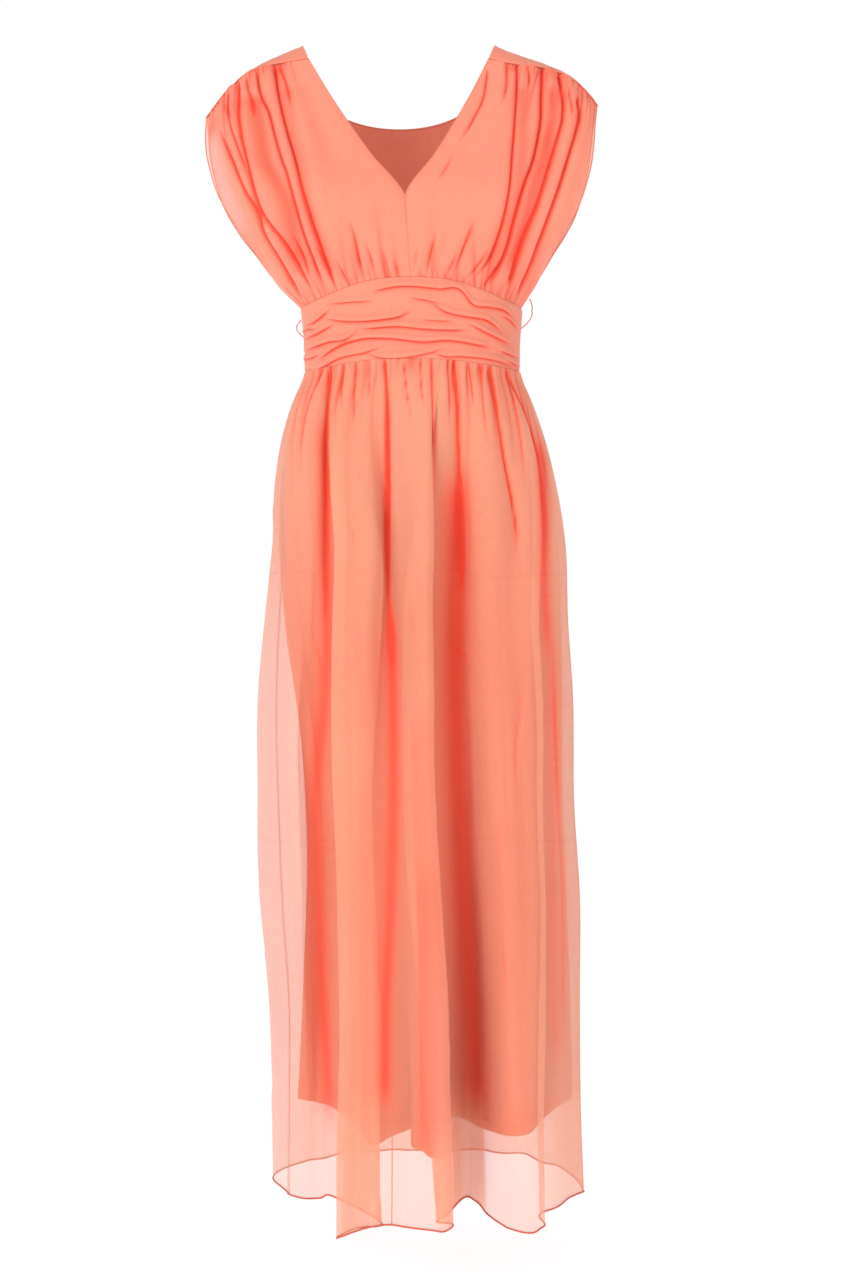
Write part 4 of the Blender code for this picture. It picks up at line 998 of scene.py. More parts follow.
OVERLAY_FRONT = table(
    "waist  hip_x   hip_y   knee_x  knee_y   hem_x  hem_y  hem_dip",
    (-90, -0.922, -0.1872, -0.850, -0.36, -0.875, 0.02, 0.000),
    (-80, -0.880, -0.46, -0.790, -0.58, -0.850, -0.06, 0.001),
    (-70, -0.800, -0.66, -0.715, -0.68, -0.770, -0.12, 0.002),
    (-60, -0.720, -0.80, -0.630, -0.60, -0.660, -0.16, 0.000),
    (-54, -0.630, -0.82, -0.560, -0.64, -0.570, -0.26, -0.006),
    (-48, -0.310, -0.92, -0.265, -0.93, -0.264, -0.94, 0.002),
    (-44, -0.460, -0.96, -0.390, -0.97, -0.420, -1.00, 0.004),
    (-40, -0.572, -0.99, -0.488, -1.02, -0.540, -1.08, 0.012),
    (-36, -0.520, -1.05, -0.445, -1.08, -0.500, -1.08, 0.010),
    (-28, -0.420, -1.04, -0.370, -1.05, -0.420, -1.03, 0.006),
    (-17, -0.265, -1.02, -0.270, -1.00, -0.300, -0.97, 0.003),
    (-12, -0.200, -0.93, -0.200, -0.97, -0.215, -0.95, 0.002),
    (-7, -0.135, -1.02, -0.090, -1.02, -0.115, -1.00, 0.003),
    (3, 0.000, -1.05, 0.030, -1.07, 0.030, -1.04, 0.005),
    (8, 0.088, -1.06, 0.108, -1.07, 0.120, -1.05, 0.005),
    (10.5, 0.116, -1.00, 0.138, -1.02, 0.160, -1.00, 0.000),
    (14, 0.000, -0.96, -0.065, -0.97, 0.055, -0.95, -0.002),
    (16.5, 0.080, -0.94, 0.070, -0.94, 0.110, -0.88, -0.006),
    (19, 0.205, -0.87, 0.225, -0.79, 0.205, -0.62, -0.015),
    (24, 0.305, -0.84, 0.300, -0.72, 0.300, -0.57, -0.012),
    (30, 0.370, -0.94, 0.370, -0.85, 0.385, -0.72, 0.000),
    (37, 0.470, -0.99, 0.480, -0.96, 0.460, -0.92, 0.004),
    (45, 0.580, -0.95, 0.575, -0.96, 0.550, -1.03, 0.006),
    (52, 0.670, -0.89, 0.660, -0.91, 0.625, -1.04, 0.008),
    (60, 0.780, -0.87, 0.735, -0.88, 0.680, -0.98, 0.005),
    (65, 0.832, -0.78, 0.778, -0.82, 0.715, -0.88, 0.004),
    (69, 0.780, -0.69, 0.735, -0.70, 0.690, -0.68, 0.002),
    (76, 0.880, -0.50, 0.840, -0.50, 0.800, -0.42, 0.002),
    (83, 0.955, -0.28, 0.920, -0.30, 0.900, -0.12, 0.001),
    (90, 1.000, 0.00, 1.000, 0.00, 1.000, 0.05, 0.000),
)
OVERLAY_BACK = table(
    FOLD_COLUMNS,
    (-90, -0.850, -0.36, -0.875, 0.02, 0.000),
    (-82, -1.000, 0.12, -0.990, 0.42, 0.000),
    (-66, -0.830, 0.70, -0.790, 0.82, -0.006),
    (-54, -0.690, 0.67, -0.670, 0.75, -0.012),
    (-40, -0.500, 0.93, -0.520, 0.98, -0.012),
    (-29, -0.370, 0.88, -0.380, 0.89, -0.015),
    (-17, -0.210, 1.00, -0.220, 1.02, -0.012),
    (-6, -0.075, 0.94, -0.080, 0.93, -0.015),
    (7, 0.080, 1.01, 0.090, 1.03, -0.012),
    (17, 0.200, 0.92, 0.205, 0.91, -0.016),
    (30, 0.350, 0.96, 0.360, 0.99, -0.014),
    (43, 0.510, 0.82, 0.510, 0.81, -0.016),
    (55, 0.650, 0.83, 0.660, 0.87, -0.013),
    (66, 0.780, 0.64, 0.780, 0.66, -0.010),
    (76, 0.880, 0.55, 0.900, 0.60, -0.006),
    (84, 0.970, 0.28, 0.985, 0.34, 0.000),
    (90, 1.000, 0.00, 1.000, 0.05, 0.000),
)
LINING_FRONT = table(
    FOLD_COLUMNS,
    (-90, -0.990, 0.00, -1.000, 0.20, 0.000),
    (-68, -0.893, -0.40, -0.846, 0.00, 0.000),
    (-54, -0.790, -0.40, -0.716, -0.18, 0.002),
    (-44, -0.690, -0.58, -0.556, -0.62, 0.010),
    (-30, -0.514, -0.90, -0.420, -0.90, 0.026),
    (-20, -0.390, -0.91, -0.260, -0.84, 0.014),
    (-15, -0.300, -0.92, -0.120, -0.82, 0.008),
    (-12, -0.250, -0.93, -0.172, -0.87, 0.022),
    (-5, -0.140, -0.95, -0.090, -0.91, 0.032),
    (3, -0.022, -0.95, -0.010, -0.93, 0.040),
    (8, 0.060, -0.89, 0.075, -0.88, 0.038),
    (10.5, 0.100, -0.84, 0.030, -0.76, 0.022),
    (15, 0.170, -0.78, 0.100, -0.62, 0.005),
    (24, 0.293, -0.77, 0.200, -0.56, 0.005),
    (32, 0.400, -0.88, 0.300, -0.62, 0.012),
    (42, 0.527, -0.96, 0.470, -0.86, 0.015),
    (52, 0.653, -0.90, 0.595, -0.84, 0.016),
    (62, 0.767, -0.74, 0.690, -0.68, 0.014),
    (70, 0.861, -0.50, 0.760, -0.40, 0.008),
    (80, 0.950, -0.26, 0.880, -0.08, 0.002),
    (90, 1.000, 0.00, 1.000, 0.25, 0.000),
)
LINING_BACK = table(
    FOLD_COLUMNS,
    (-90, -0.990, 0.00, -1.000, 0.20, 0.000),
    (-70, -0.835, 0.50, -0.890, 0.58, 0.000),
    (-50, -0.660, 0.78, -0.680, 0.84, 0.000),
    (-30, -0.420, 0.94, -0.420, 0.91, 0.000),
    (-10, -0.140, 0.99, -0.140, 1.01, 0.000),
    (10, 0.140, 0.96, 0.140, 0.93, 0.000),
    (30, 0.420, 0.93, 0.420, 0.97, 0.000),
    (50, 0.660, 0.76, 0.680, 0.76, 0.000),
    (70, 0.845, 0.46, 0.890, 0.56, 0.000),
    (90, 1.000, 0.00, 1.000, 0.25, 0.000),
)


# %% One skirt panel
def spread(sections, folds, columns, side):
    """The angles of a panel's columns, closer together where the cloth runs back and forth in a fold."""
    fine = np.linspace(-90, 90, 1801)

    def steps(drop, places):
        return np.linalg.norm(np.diff(placed(sections, drop + 0 * fine, *places), axis=0), axis=1)

    def places(level):
        return [smooth_between(fine, folds["waist"], folds[level + name]) for name in "xy"]

    every = steps(KNEE_DROP, places("knee_")) + steps(HEM_DROP, places("hem_"))
    every += steps(WAIST_SIDE_DROP, round_section(fine, side))
    length = np.concatenate([[0], np.cumsum(every)])
    return np.interp(np.linspace(0, length[-1], columns + 1), length, fine)


def skirt_points(sections, folds, columns, rows, hem_drop, side):
    """A panel from the waist seam to the hem, with its angles and its share of the length at every point."""
    angle = spread(sections, folds, columns, side)
    share = np.linspace(0, 1, rows + 1)[:, None] ** ROWS_CLOSER
    knots = folds["waist"]
    centre = WAIST_FRONT_DROP if side < 0 else WAIST_BACK_DROP
    top = arch(angle, centre, WAIST_SIDE_DROP) + SEAM
    drop = top + (hem_drop + smooth_between(angle, knots, folds["hem_dip"]) - top) * share
    levels = np.array([WAIST_FRONT_DROP, HIP_DROP, KNEE_DROP, hem_drop])
    places = []
    for waist, name in zip(round_section(angle, side), "xy"):
        knee, hem = (smooth_between(angle, knots, folds[level + name]) for level in ("knee_", "hem_"))
        hip = waist + (knee - waist) * HIP_SHARE
        if "hip_" + name in folds:
            hip = smooth_between(angle, knots, folds["hip_" + name])
        places.append(smooth_between(drop, levels, np.stack([waist, hip, knee, hem])))
    return placed(sections, drop, *places), np.broadcast_to(angle, drop.shape), share + 0 * drop


# %% The hollows that both skirts have in front: path, width, depth, ridge width, ridge height
HOLLOWS = (
    (((72, 480), (72, 620), (70, 791), (74, 909), (80, 1027), (87, 1145), (95, 1290)), 14.0, 6.0, 1, 0.0),
    (((-95, 700), (-99, 850), (-95, 1000), (-92, 1146), (-86, 1300)), 14.0, 4.5, 1, 0.0),
    (((-8, 430), (-8, 700), (-6, 900), (-12, 1145), (-14, 1300)), 11.0, 3.0, 1, 0.0),
    (((176, 440), (178, 600), (181, 800), (180, 1000), (182, 1250)), 8.0, 3.0, 1, 0.0),
)

# %% The opaque underskirt
DEEP_HEM = 0.025
HEM_SHADE = 0.35  # the hem is two layers more, so it looks deeper: painted shade on the turned hem
LINING_IN = 0.0004  # of the cloth from the solid's middle
LINING_WAVE = 0.0012


def lining_points(folds, columns, rows, side, seed):
    grids = skirt_points(LINING, folds, columns, rows, LINING_HEM_DROP, side)
    points, angle, share = turned_round(side > 0, *grids)
    edge = step_up(90 - np.abs(angle), 0, 4)
    soft = LINING_WAVE * wrinkled(angle / 9 + 20, share * 6, seed) * step_up(share, 0, 0.2)
    sizes = {"count": 26, "low": -88, "high": 88, "width": 1.2, "depth": 0.0010, "longest": 0.2}
    gathered, _ = gathers(angle, share, seed + 1, **sizes)
    out = normals_of(points) * edge[..., None]
    points = points + out * (soft + gathered - LINING_IN)[..., None]
    painted_shade = 0 * share
    if side < 0:
        # The hollows also give the underskirt painted shade
        points, painted_shade = creased(points, HOLLOWS, out, fade=0.15, shade=0.85)
    from_hem = points[..., 2] - points[-1:, :, 2]
    turned = step_up(DEEP_HEM - from_hem, -0.001, 0.001)
    return points, np.clip(painted_shade + HEM_SHADE * turned, 0, 1)


linings, hung = [], {}
for name, *sizes in (("front", LINING_FRONT, 150, 100, -1, 40), ("back", LINING_BACK, 100, 70, 1, 44)):
    hung[name], painted_shade = lining_points(*sizes)
    linings.append(shell("skirt_lining_" + name + "_cloth", hung[name], lining_cloth, wall=0.0005, painted_shade=painted_shade))

# %% The creases of the outer skirt: path, line width, line depth, ridge width, ridge height
SKIRT_FRONT_CREASES = (
    (((-16, 394), (-14, 435), (-13, 531), (-12, 700)), 3.4, 6.5, 7, 1.5),
    (((6, 392), (11, 435), (17, 470)), 2.0, 3.6, 5, 1.5),
    (((-52, 394), (-53, 430), (-54, 475)), 2.4, 4.0, 5, 2.0),
    (((38, 390), (41, 460), (42, 520), (43, 570)), 2.8, 4.0, -6, 1.0),
    (((66, 392), (70, 440), (72, 500), (73, 560), (72, 680)), 3.4, 6.0, 7, 1.5),
    (((58, 391), (60, 425), (61, 470)), 2.2, 3.6, -4, 1.4),
    (((-82, 396), (-86, 440), (-87, 560), (-87, 720)), 3.2, 5.5, -6, 1.5),
    (((-91, 396), (-106, 429), (-115, 465), (-117, 535)), 2.8, 3.6, 6, 2.0),
    (((110, 400), (118, 450), (125, 496), (136, 560), (143, 660)), 3.0, 5.5, 7, 2.5),
    (((130, 400), (144, 471), (153, 560)), 2.8, 2.6, 6, 2.0),
    (((98, 396), (102, 450), (108, 500)), 3.0, 3.0, 6, 2.0),
    (((130, 402), (152, 450), (168, 500), (174, 560), (175, 650)), 3.4, 5.0, -6, 1.5),
    (((-66, 396), (-68, 430), (-66, 455)), 2.4, 3.4, 4, 1.4),
    (((26, 388), (27, 420), (31, 452)), 2.4, 3.4, 4, 1.4),
    (((-34, 392), (-35, 415), (-36, 440)), 2.2, 3.2, 4, 1.4),
    (((84, 395), (87, 420), (90, 450)), 2.2, 3.4, 4, 1.4),
    (((-112, 760), (-117, 830), (-113, 930)), 4.0, 2.0, 7, 1.6),
    (((186, 700), (190, 860), (196, 1010), (199, 1240)), 3.2, 1.8, 5, 2.0),
    (((49, 706), (72, 736), (95, 770)), 1.8, 0.8, 4, 0.6),
    (((152, 740), (143, 800), (138, 850), (141, 930)), 2.4, 2.6, 5, 1.4),
    (((-104, 690), (-94, 740), (-88, 780)), 1.8, 1.4, 4, 1.0),
    (((10, 640), (16, 690), (19, 760)), 1.8, 1.2, 4, 0.8),
    (((-62, 560), (-52, 600), (-49, 650)), 1.8, 1.2, 4, 0.8),
    (((128, 880), (118, 940), (112, 1010)), 1.8, 1.4, 4, 1.0),
    (((-30, 1040), (-22, 1100), (-24, 1160)), 1.8, 1.2, 4, 0.8),
    (((112, 1030), (122, 1090), (126, 1160)), 1.8, 1.4, 4, 1.0),
)

# %% The painted shade in its hollows: the angles that one covers, path, half-widths left and right, depth of painted shade
LEFT_HOLLOW = (
    (-88, 430), (-87, 560), (-87, 791), (-98, 890), (-96, 1027), (-92, 1145), (-84, 1263), (-82, 1320)
)
VALLEY = ((72, 500), (72, 620), (69, 791), (72, 909), (78, 1027), (86, 1145), (95, 1250), (97, 1300))
SKIRT_SHADES = (
    ((-20, -1), ((-13, 410), (-13, 560), (-11, 673), (-7, 760)), 5, 5, 0.75),
    ((-20, 2), ((-9, 660), (-4, 791), (-3, 909), (-6, 1027), (-12, 1145), (-13, 1290)), 10, 8, 0.62),
    ((-34, -1), ((-10, 680), (-10, 900), (-14, 1027), (-18, 1145), (-18, 1290)), 27, 8, 0.34),
    ((-1, 12), ((24, 780), (22, 900), (20, 1145), (20, 1263), (24, 1330)), 26, 26, 0.26),
    ((-1, 12), ((28, 960), (28, 1145), (28, 1263), (28, 1330)), 34, 34, 0.26),
    ((13, 34), VALLEY, 24, 15, 0.85),
    ((-90, -46), LEFT_HOLLOW, 12, 10, 0.80),
    ((40, 90), ((171, 450), (173, 560), (173, 640), (179, 760)), 8, 9, 0.85),
    ((40, 90), ((179, 700), (181, 800), (183, 1000), (187, 1250)), 9, 12, 0.45),
)

# %% The sheer outer skirt
BEHIND = (-44, 15)  # degrees: the hollows lie behind the front panel, beyond these two folds
NEAR_WAIST = (0.42, 0.52)  # drops: above the first, the underskirt is close, so creases are shallow
SHALLOW = 0.45
WANDER, CRINKLE = 0.0022, 0.0011  # sideways drift of the folds, and small crinkles across them
# share of the gathers' painted shade that the outer skirt gets
GATHERS_SHADE = 0.8


def overlay_points(folds, columns, rows, side, seed, count):
    """A panel of the outer skirt, with short gathers at the seam and a soft unevenness all over."""
    grids = skirt_points(SKIRT, folds, columns, rows, HEM_DROP, side)
    points, angle, share = turned_round(side > 0, *grids)
    drop = -points[..., 2]
    edge = step_up(90 - np.abs(angle), 0, 3)
    sizes = {"low": -88, "high": 88, "width": 0.85, "depth": 0.0050, "longest": 0.12}
    gathered, painted_shade = gathers(angle, share, seed, count, **sizes)
    loose = step_up(share, 0, 0.25)
    wander = WANDER * wrinkled(angle / 9 + 30, drop * 7, seed + 1) * loose
    soft = uneven(
        ((0.0017, angle / 7 + 11, drop * 4.5, seed + 2), (0.0007, angle / 2.6 + 5, drop * 9, seed + 3))
    )
    where = np.clip(wrinkled(angle / 26 + 3, drop * 11, seed + 4), 0, 1)
    crinkles = CRINKLE * where * wrinkled(angle / 16, drop * 62 + angle / 9, seed + 5)
    out = normals_of(points)
    points = points + out * ((gathered + (soft + crinkles) * loose) * edge)[..., None]
    points[..., 0] += wander * edge
    # The last value is the painted shade of the gathers
    return points, angle, share, out * edge[..., None], GATHERS_SHADE * painted_shade * edge


# gathered is the painted shade of the front panel's gathers
front, angle, share, outward, gathered = overlay_points(OVERLAY_FRONT, 284, 168, -1, 50, 50)
shallow = outward * (SHALLOW + (1 - SHALLOW) * step_up(-front[..., 2:], *NEAR_WAIST))
overlay_front, painted_shade = creased(front, SKIRT_FRONT_CREASES, shallow, fade=0.12, seam=0.41)
behind = step_up(BEHIND[0] - angle, 0, 3) + step_up(angle - BEHIND[1], 0, 3)
overlay_front, _ = creased(overlay_front, HOLLOWS, outward * behind[..., None], fade=0.15)
# Painted shade in the wide hollows of the front panel
painted_hollow_shade = shaded(overlay_front, angle, SKIRT_SHADES)
overlay_back, back_angle, back_share, _, back_painted_shade = overlay_points(OVERLAY_BACK, 224, 130, 1, 60, 48)

# %% How much the outer skirt hides
ONE_LAYER, MOST = 0.48, 0.96
WAIST_MORE, WAIST_SHARES = 0.34, (0.04, 0.38)  # share of the length over which it fades
FOLD_MORE = 0.28
SIDE_MORE, SIDE_ANGLES = 0.26, (68, 80)


def gathered_opacity(share, painted_shade, angle):
    """Gathered cloth lies closer, so it hides more by the waist seam, in folds and by the left side seam."""
    close = WAIST_MORE * (1 - step_up(share, *WAIST_SHARES)) + FOLD_MORE * painted_shade
    return np.clip(ONE_LAYER + close + SIDE_MORE * step_up(angle, *SIDE_ANGLES), 0, MOST)


# Where more layers lie over one another: angles, edges to the left and right, and how much more they hide.
LAID_OVER = (
    ((14, 34), ((60, 1230), (62, 1300), (63, 1410)), ((97, 1230), (101, 1300), (103, 1410)), 0.34),
    ((-52, -27), ((-64, 1200), (-64, 1300), (-64, 1410)), ((-12, 1200), (-12, 1300), (-12, 1410)), 0.16),
    ((5, 19), ((40, 1200), (42, 1300), (43, 1410)), ((80, 1200), (80, 1300), (80, 1410)), 0.16),
)


def laid_over(points, angle, places, soft=0.003):
    """How much more the cloth hides where it lies in layers."""
    drop, x = -points[..., 2], points[..., 0]
    more = np.zeros(points.shape[:2])
    for (first, last), left, right, strength in places:
        left, right = np.array(left, float) / 1000, np.array(right, float) / 1000
        inside = step_up(x - smooth_between(drop, left[:, 1], left[:, 0]), -soft, soft)
        inside *= 1 - step_up(x - smooth_between(drop, right[:, 1], right[:, 0]), -soft, soft)
        inside *= step_up(angle, first - 1, first + 1) * (1 - step_up(angle, last - 1, last + 1))
        more += strength * inside * step_up(drop, left[0, 1], left[1, 1])
    return more


# All the painted shade of the front panel: from its gathers, its creases and its hollows
front_painted_shade = np.clip(painted_shade + gathered + painted_hollow_shade, 0, 1)
front_seen = gathered_opacity(share, front_painted_shade, angle) + laid_over(overlay_front, angle, LAID_OVER)
front_seen = np.clip(front_seen, 0, MOST)
back_seen = gathered_opacity(back_share, back_painted_shade, back_angle)
overlays = [
    shell("skirt_overlay_front_cloth", overlay_front, sheer_chiffon, opacity=front_seen, painted_shade=front_painted_shade),
    shell("skirt_overlay_back_cloth", overlay_back, sheer_chiffon, opacity=back_seen, painted_shade=back_painted_shade),
]

# %% [markdown]
# ## Sewing
# The raw edges of chiffon are rolled into a hem as thin as a cord, seams are closed twice so that no edge
# shows through, and the underskirt has a deep hem turned twice and stitched. All of it follows a path over
# the cloth, so Geometry Nodes make it: a mesh of edges goes in, becomes a curve, and gets a round section for
# a rolled edge, or a row of small stitches.


# %% Parts that the trees share
def new_tree(name, **sockets):
    """A Geometry Nodes tree, and the sockets of its named inputs."""
    tree = bpy.data.node_groups.new(name, "GeometryNodeTree")
    tree.interface.new_socket("Geometry", in_out="INPUT", socket_type="NodeSocketGeometry")
    for label, kind in sockets.items():
        tree.interface.new_socket(label, in_out="INPUT", socket_type="NodeSocket" + kind)
    tree.interface.new_socket("Geometry", in_out="OUTPUT", socket_type="NodeSocketGeometry")
    return tree, tree.nodes.new("NodeGroupInput").outputs


def even_points(tree, given, spacing):
    """The paths that the tree is given, as curves with evenly spaced points."""
    path = add(tree, "GeometryNodeMeshToCurve", {"Mesh": given["Geometry"]}).outputs[0]
    links = {"Curve": path, "Length": given[spacing]}
    return add(tree, "GeometryNodeResampleCurve", links, mode="LENGTH").outputs[0]


def turn_along(tree):
    """The turn that lays a thing's X axis along the path."""
    tangent = add(tree, "GeometryNodeInputTangent").outputs[0]
    return add(tree, "FunctionNodeAlignRotationToVector", {"Vector": tangent}, axis="X").outputs[0]


def circle(tree, radius, corners):
    return add(tree, "GeometryNodeCurvePrimitiveCircle", {"Radius": radius}, Resolution=corners).outputs[0]


def end_tree(tree, geometry, material):
    """Makes instances real, sets the material and ends the tree."""
    real = add(tree, "GeometryNodeRealizeInstances", {"Geometry": geometry}).outputs[0]
    smooth = add(tree, "GeometryNodeSetShadeSmooth", {"Geometry": real}).outputs[0]
    painted = add(tree, "GeometryNodeSetMaterial", {"Geometry": smooth, "Material": material}).outputs[0]
    tree.links.new(painted, tree.nodes.new("NodeGroupOutput").inputs[0])


# %% A tree that rolls an edge
rolled_tree, given = new_tree("rolled_edge", Radius="Float", Step="Float", Material="Material")
ring = circle(rolled_tree, given["Radius"], corners=8)
sweep = {"Curve": even_points(rolled_tree, given, "Step"), "Profile Curve": ring}
tube = add(rolled_tree, "GeometryNodeCurveToMesh", sweep, Fill_Caps=True).outputs[0]
end_tree(rolled_tree, tube, given["Material"])

# %% A tree that lays stitches
inputs = {"Pitch": "Float", "Length": "Float", "Thickness": "Float", "Material": "Material"}
stitch_tree, given = new_tree("stitches", **inputs)
bead = add(stitch_tree, "GeometryNodeMeshUVSphere", Segments=6, Rings=4, Radius=0.5).outputs[0]
size = {0: given["Length"], 1: given["Thickness"], 2: given["Thickness"]}
each = {
    "Points": even_points(stitch_tree, given, "Pitch"),
    "Instance": bead,
    "Rotation": turn_along(stitch_tree),
    "Scale": add(stitch_tree, "ShaderNodeCombineXYZ", size).outputs[0],
}
end_tree(stitch_tree, add(stitch_tree, "GeometryNodeInstanceOnPoints", each).outputs[0], given["Material"])

# %% A tree that works a chain of thread
LINK_TURN = math.radians(78)  # from one link to the next
LINK_FLAT = 0.5  # a link is half as wide as it is long

chain_tree, given = new_tree("thread_chain", Pitch="Float", Thickness="Float", Material="Material")
number = add(chain_tree, "GeometryNodeInputIndex").outputs[0]
roll = maths(chain_tree, "MULTIPLY", number, LINK_TURN)
roll = add(chain_tree, "ShaderNodeCombineXYZ", {0: roll}).outputs[0]
turns = {"Rotation": turn_along(chain_tree), "Rotate By": roll}
rolled = add(chain_tree, "FunctionNodeRotateRotation", turns, rotation_space="LOCAL").outputs[0]
link, ring = circle(chain_tree, given["Pitch"], corners=12), circle(chain_tree, given["Thickness"], corners=6)
sweep = {"Curve": link, "Profile Curve": ring}
each = {
    "Points": even_points(chain_tree, given, "Pitch"),
    "Instance": add(chain_tree, "GeometryNodeCurveToMesh", sweep).outputs[0],
    "Rotation": rolled,
}
worked = add(chain_tree, "GeometryNodeInstanceOnPoints", each, Scale=(1.0, LINK_FLAT, LINK_FLAT)).outputs[0]
end_tree(chain_tree, worked, given["Material"])


# %% Growing a piece along its paths
def grow(name, tree, paths, **inputs):
    """A piece made by a tree along one or more open paths, as a plain mesh."""
    mesh = bpy.data.meshes.new(name)
    points, edges = [], []
    for line in paths:
        edges += [(len(points) + i, len(points) + i + 1) for i in range(len(line) - 1)]
        points += [tuple(map(float, point)) for point in line]
    mesh.from_pydata(points, edges, [])
    thing = bpy.data.objects.new(name, mesh)
    scene.collection.objects.link(thing)
    grower = thing.modifiers.new("grow", "NODES")
    grower.node_group = tree
    for socket in tree.interface.items_tree:
        if socket.in_out == "INPUT" and socket.name in inputs:
            grower[socket.identifier] = inputs[socket.name]
    grown = bpy.data.meshes.new_from_object(thing.evaluated_get(bpy.context.evaluated_depsgraph_get()))
    bpy.data.objects.remove(thing)
    grown.name = name
    if "opacity" not in grown.attributes:
        grown.attributes.new("opacity", "FLOAT", "POINT")
    grown.attributes["opacity"].data.foreach_set("value", np.ones(len(grown.vertices), np.float32))
    return plain(name, grown)


# %% Rolled edges
HEM_ROLL, EDGE_ROLL, ROLL_STEP = 0.0011, 0.0007, 0.003
NECK_REACH = 0.29  # half of the back's neckline, as a share of half the back's top edge
OPEN_SHARE = 0.88  # of an armhole's edge is open, and the rest is the side seam

right_front, left_front = fronts["right"], fronts["left"]
neck_rows = int(V_SHARE * (len(right_front) - 1)) + 1
open_rows, back_open_rows = (int(OPEN_SHARE * (len(panel) - 1)) for panel in (right_front, back))
scoop = np.abs(np.linspace(-1, 1, back.shape[1])) < NECK_REACH
neck = [right_front[:neck_rows, -1], left_front[:neck_rows, 0], back[0][scoop]]
armholes = [right_front[:open_rows, 0], left_front[:open_rows, -1]]
armholes += [back[:back_open_rows, 0], back[:back_open_rows, -1]]
rolled_hem, neck_edge, armhole_edges = (
    grow(name, rolled_tree, paths, Radius=radius, Step=ROLL_STEP, Material=material)
    for name, paths, radius, material in (
        ("rolled_hem", [overlay_front[-1], overlay_back[-1]], HEM_ROLL, seam_chiffon),
        ("neck_edge", neck, EDGE_ROLL, backed_chiffon),
        ("armhole_edges", armholes, EDGE_ROLL, backed_chiffon),
    )
)

# %% The closed seams of the outer skirt
SEAM_WIDTH, SEAM_WALL = 0.005, 0.0007  # of a seam closed twice
SEAM_OPACITY = 0.75
STRIP_INSIDE = 0.0011  # from the middle of the cloth
GOWN_MIDDLE = (0.03, 0.02, 0.0)
FRONT_SEAM = -12  # degrees: the seam of the front panel lies in the valley there
FRONT_SEAM_WIDTH = 0.0016


def seam_strip(name, edge, toward, width=SEAM_WIDTH):
    """A flat strip of seam allowance inside the cloth, from its edge towards a point of each row."""
    step = toward - edge
    step /= np.linalg.norm(step, axis=1, keepdims=True)
    across = np.linspace(0, width, 4)[None, :, None]
    points = edge[:, None] + step[:, None] * across
    inward = (np.array(GOWN_MIDDLE) - edge) * (1, 1, 0)
    inward /= np.linalg.norm(inward, axis=1, keepdims=True)
    points = points + inward[:, None] * STRIP_INSIDE
    return shell(name, points, seam_chiffon, wall=SEAM_WALL, opacity=SEAM_OPACITY)


front_seam = int(np.argmin(np.abs(angle[0] - FRONT_SEAM)))
front_edge, beside_it = overlay_front[:, front_seam], overlay_front[:, front_seam + 2]
strips = [
    seam_strip("overlay_seam_right", overlay_front[:, 0], overlay_front[:, 6]),
    seam_strip("overlay_seam_left", overlay_back[:, 0], overlay_back[:, 6]),
    seam_strip("overlay_seam_front", front_edge, beside_it, width=FRONT_SEAM_WIDTH),
]

# %% The deep hem of the underskirt
TURNING_WALL = 0.0009
TURNING_ROWS = 7
HEM_STITCH_OUT = 0.0005  # of the stitches from the middle of the cloth


def hem_turning(name, points):
    """The turned-up band inside an underskirt panel, and the line that its stitches follow."""
    drop = -points[..., 2]
    start = drop[-1] - DEEP_HEM
    out = normals_of(points)[-1]

    def row(part):
        """A point of every column, that far down the hem."""
        want = start + DEEP_HEM * part
        columns = zip(want, drop.T, points.swapaxes(0, 1))
        return np.array([[np.interp(at, drops, axis) for axis in column.T] for at, drops, column in columns])

    band = np.array([row(part) for part in np.linspace(0, 1, TURNING_ROWS)]) - out[None] * TURNING_WALL
    return shell(name, band, lining_cloth, wall=TURNING_WALL), row(0.0) + out * HEM_STITCH_OUT


front_turning, front_stitches = hem_turning("lining_hem_front", hung["front"])
back_turning, back_stitches = hem_turning("lining_hem_back", hung["back"])

# %% Stitches along the hem, the yokes and the band
YOKE_STITCH_OUT = 0.0006
yoke_lines = []
for hand in ("right", "left"):
    for row in (1, -2):
        line = yoke_points(hand)[row]
        yoke_lines.append(line + np.array([0.0, math.copysign(YOKE_STITCH_OUT, line[0][1]), 0.0]))
hem_stitches, yoke_stitches = (
    grow(name, stitch_tree, lines, Pitch=pitch, Length=length, Thickness=thickness, Material=thread)
    for name, lines, pitch, length, thickness in (
        ("lining_hem_stitches", [front_stitches, back_stitches], 0.0034, 0.0024, 0.0004),
        ("yoke_stitches", yoke_lines, 0.0030, 0.0022, 0.00035),
    )
)

# %% Belt loops
LOOP_TOP = {"left": 0.304, "right": 0.330}
LOOP_LENGTH = {"left": 0.036, "right": 0.020}
LOOP_BOW = {"left": 0.012, "right": 0.0068}
LOOP_STAND = 0.0026  # of a loop's ends from the middle of the cloth
LINK_PITCH, LINK_THREAD = 0.0013, 0.00042


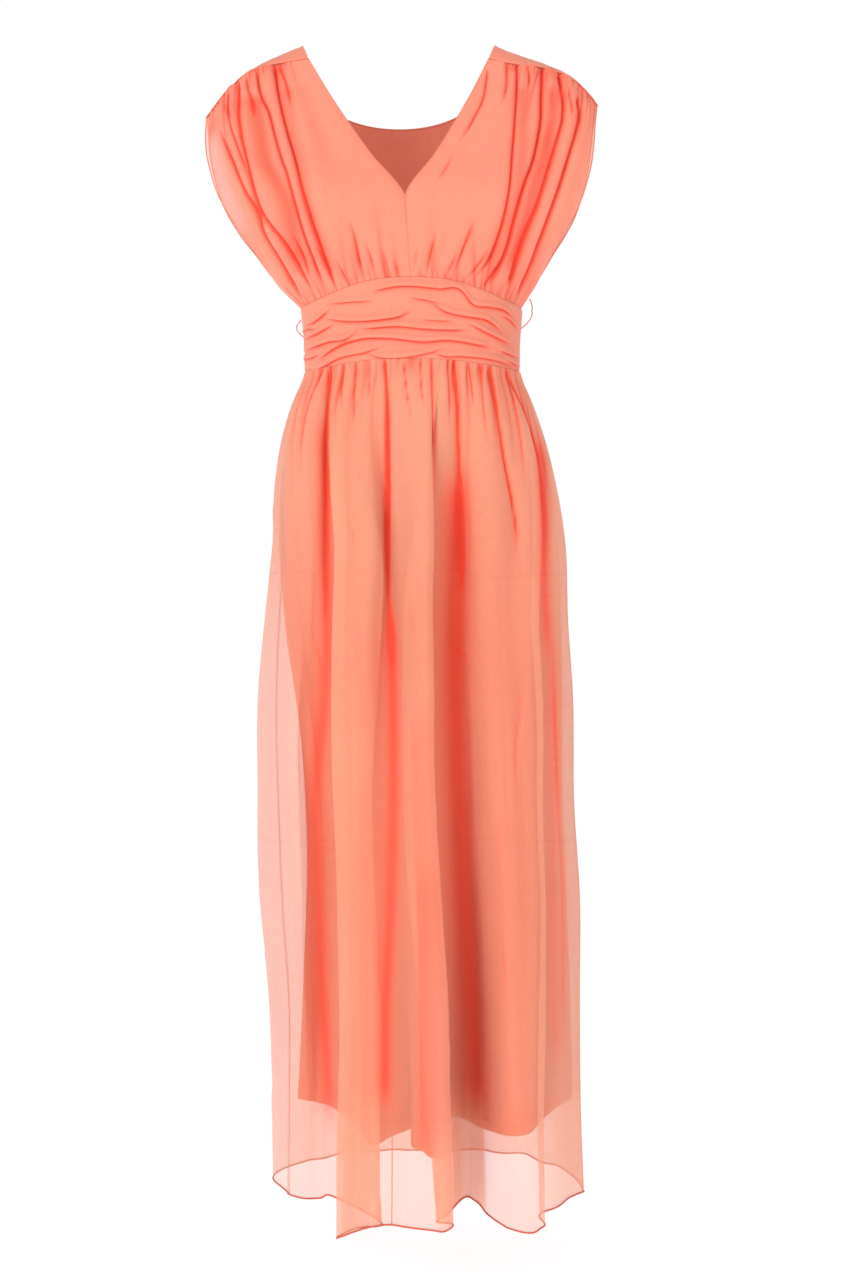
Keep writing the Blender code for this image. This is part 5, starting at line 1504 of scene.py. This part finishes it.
def loop_path(hand):
    """A thread carrier's path: it bows out from the side seam and back to it."""
    sign = -1 if hand == "right" else 1
    part = np.linspace(0, 1, 40)
    drop = LOOP_TOP[hand] + LOOP_LENGTH[hand] * part
    band = np.abs(placed(BAND, drop, sign + 0 * part, 0 * part)[:, 0])
    seam = np.abs(smooth_between(drop, ARMHOLE[hand + "_drop"], ARMHOLE[hand + "_x"]))
    seat = np.where(drop < UNDERBUST_SIDE_DROP, seam, band)
    out = seat + LOOP_STAND + LOOP_BOW[hand] * np.sin(np.pi * part)
    return np.stack([sign * out, 0 * part, -drop], axis=-1)


links = {"Pitch": LINK_PITCH, "Thickness": LINK_THREAD, "Material": thread}
loops = [grow("thread_loop_" + hand, chain_tree, [loop_path(hand)], **links) for hand in ("right", "left")]

# %% [markdown]
# ## Fitting the pieces to the frame
# Every piece rides on the gown's one body, and the solid that each main piece dresses is hidden.

# %% Each piece rides on the body, and the solids of the main pieces are hidden
BODY = "root"
for piece, node, slot in (
    (bodice[0], "bodice_front_right", "chiffon_bodice"),
    (bodice[1], "bodice_front_left", "chiffon_bodice"),
    (bodice[2], "bodice_back", "chiffon_bodice"),
    (yokes[0], "shoulder_yoke_right", "chiffon_bodice"),
    (yokes[1], "shoulder_yoke_left", "chiffon_bodice"),
    (bands[0], "waistband_front", "chiffon_band"),
    (bands[1], "waistband_back", "chiffon_band"),
    (overlays[0], "skirt_overlay_front", "chiffon_overlay"),
    (overlays[1], "skirt_overlay_back", "chiffon_overlay"),
    (linings[0], "skirt_lining_front", "lining_cloth"),
    (linings[1], "skirt_lining_back", "lining_cloth"),
    (loops[0], "belt_loop_right", "thread_loop"),
    (loops[1], "belt_loop_left", "thread_loop"),
):
    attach(piece, BODY)
    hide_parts(node)
for piece, slot in (
    (neck_edge, "chiffon_bodice"),
    (armhole_edges, "chiffon_bodice"),
    (rolled_hem, "chiffon_overlay"),
    (strips[0], "chiffon_overlay"),
    (strips[1], "chiffon_overlay"),
    (strips[2], "chiffon_overlay"),
    (front_turning, "lining_cloth"),
    (back_turning, "lining_cloth"),
    (hem_stitches, "thread_loop"),
    (yoke_stitches, "thread_loop"),
):
    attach(piece, BODY)

# %% Triangles in all
print("triangles in all:", sum(made.values()))
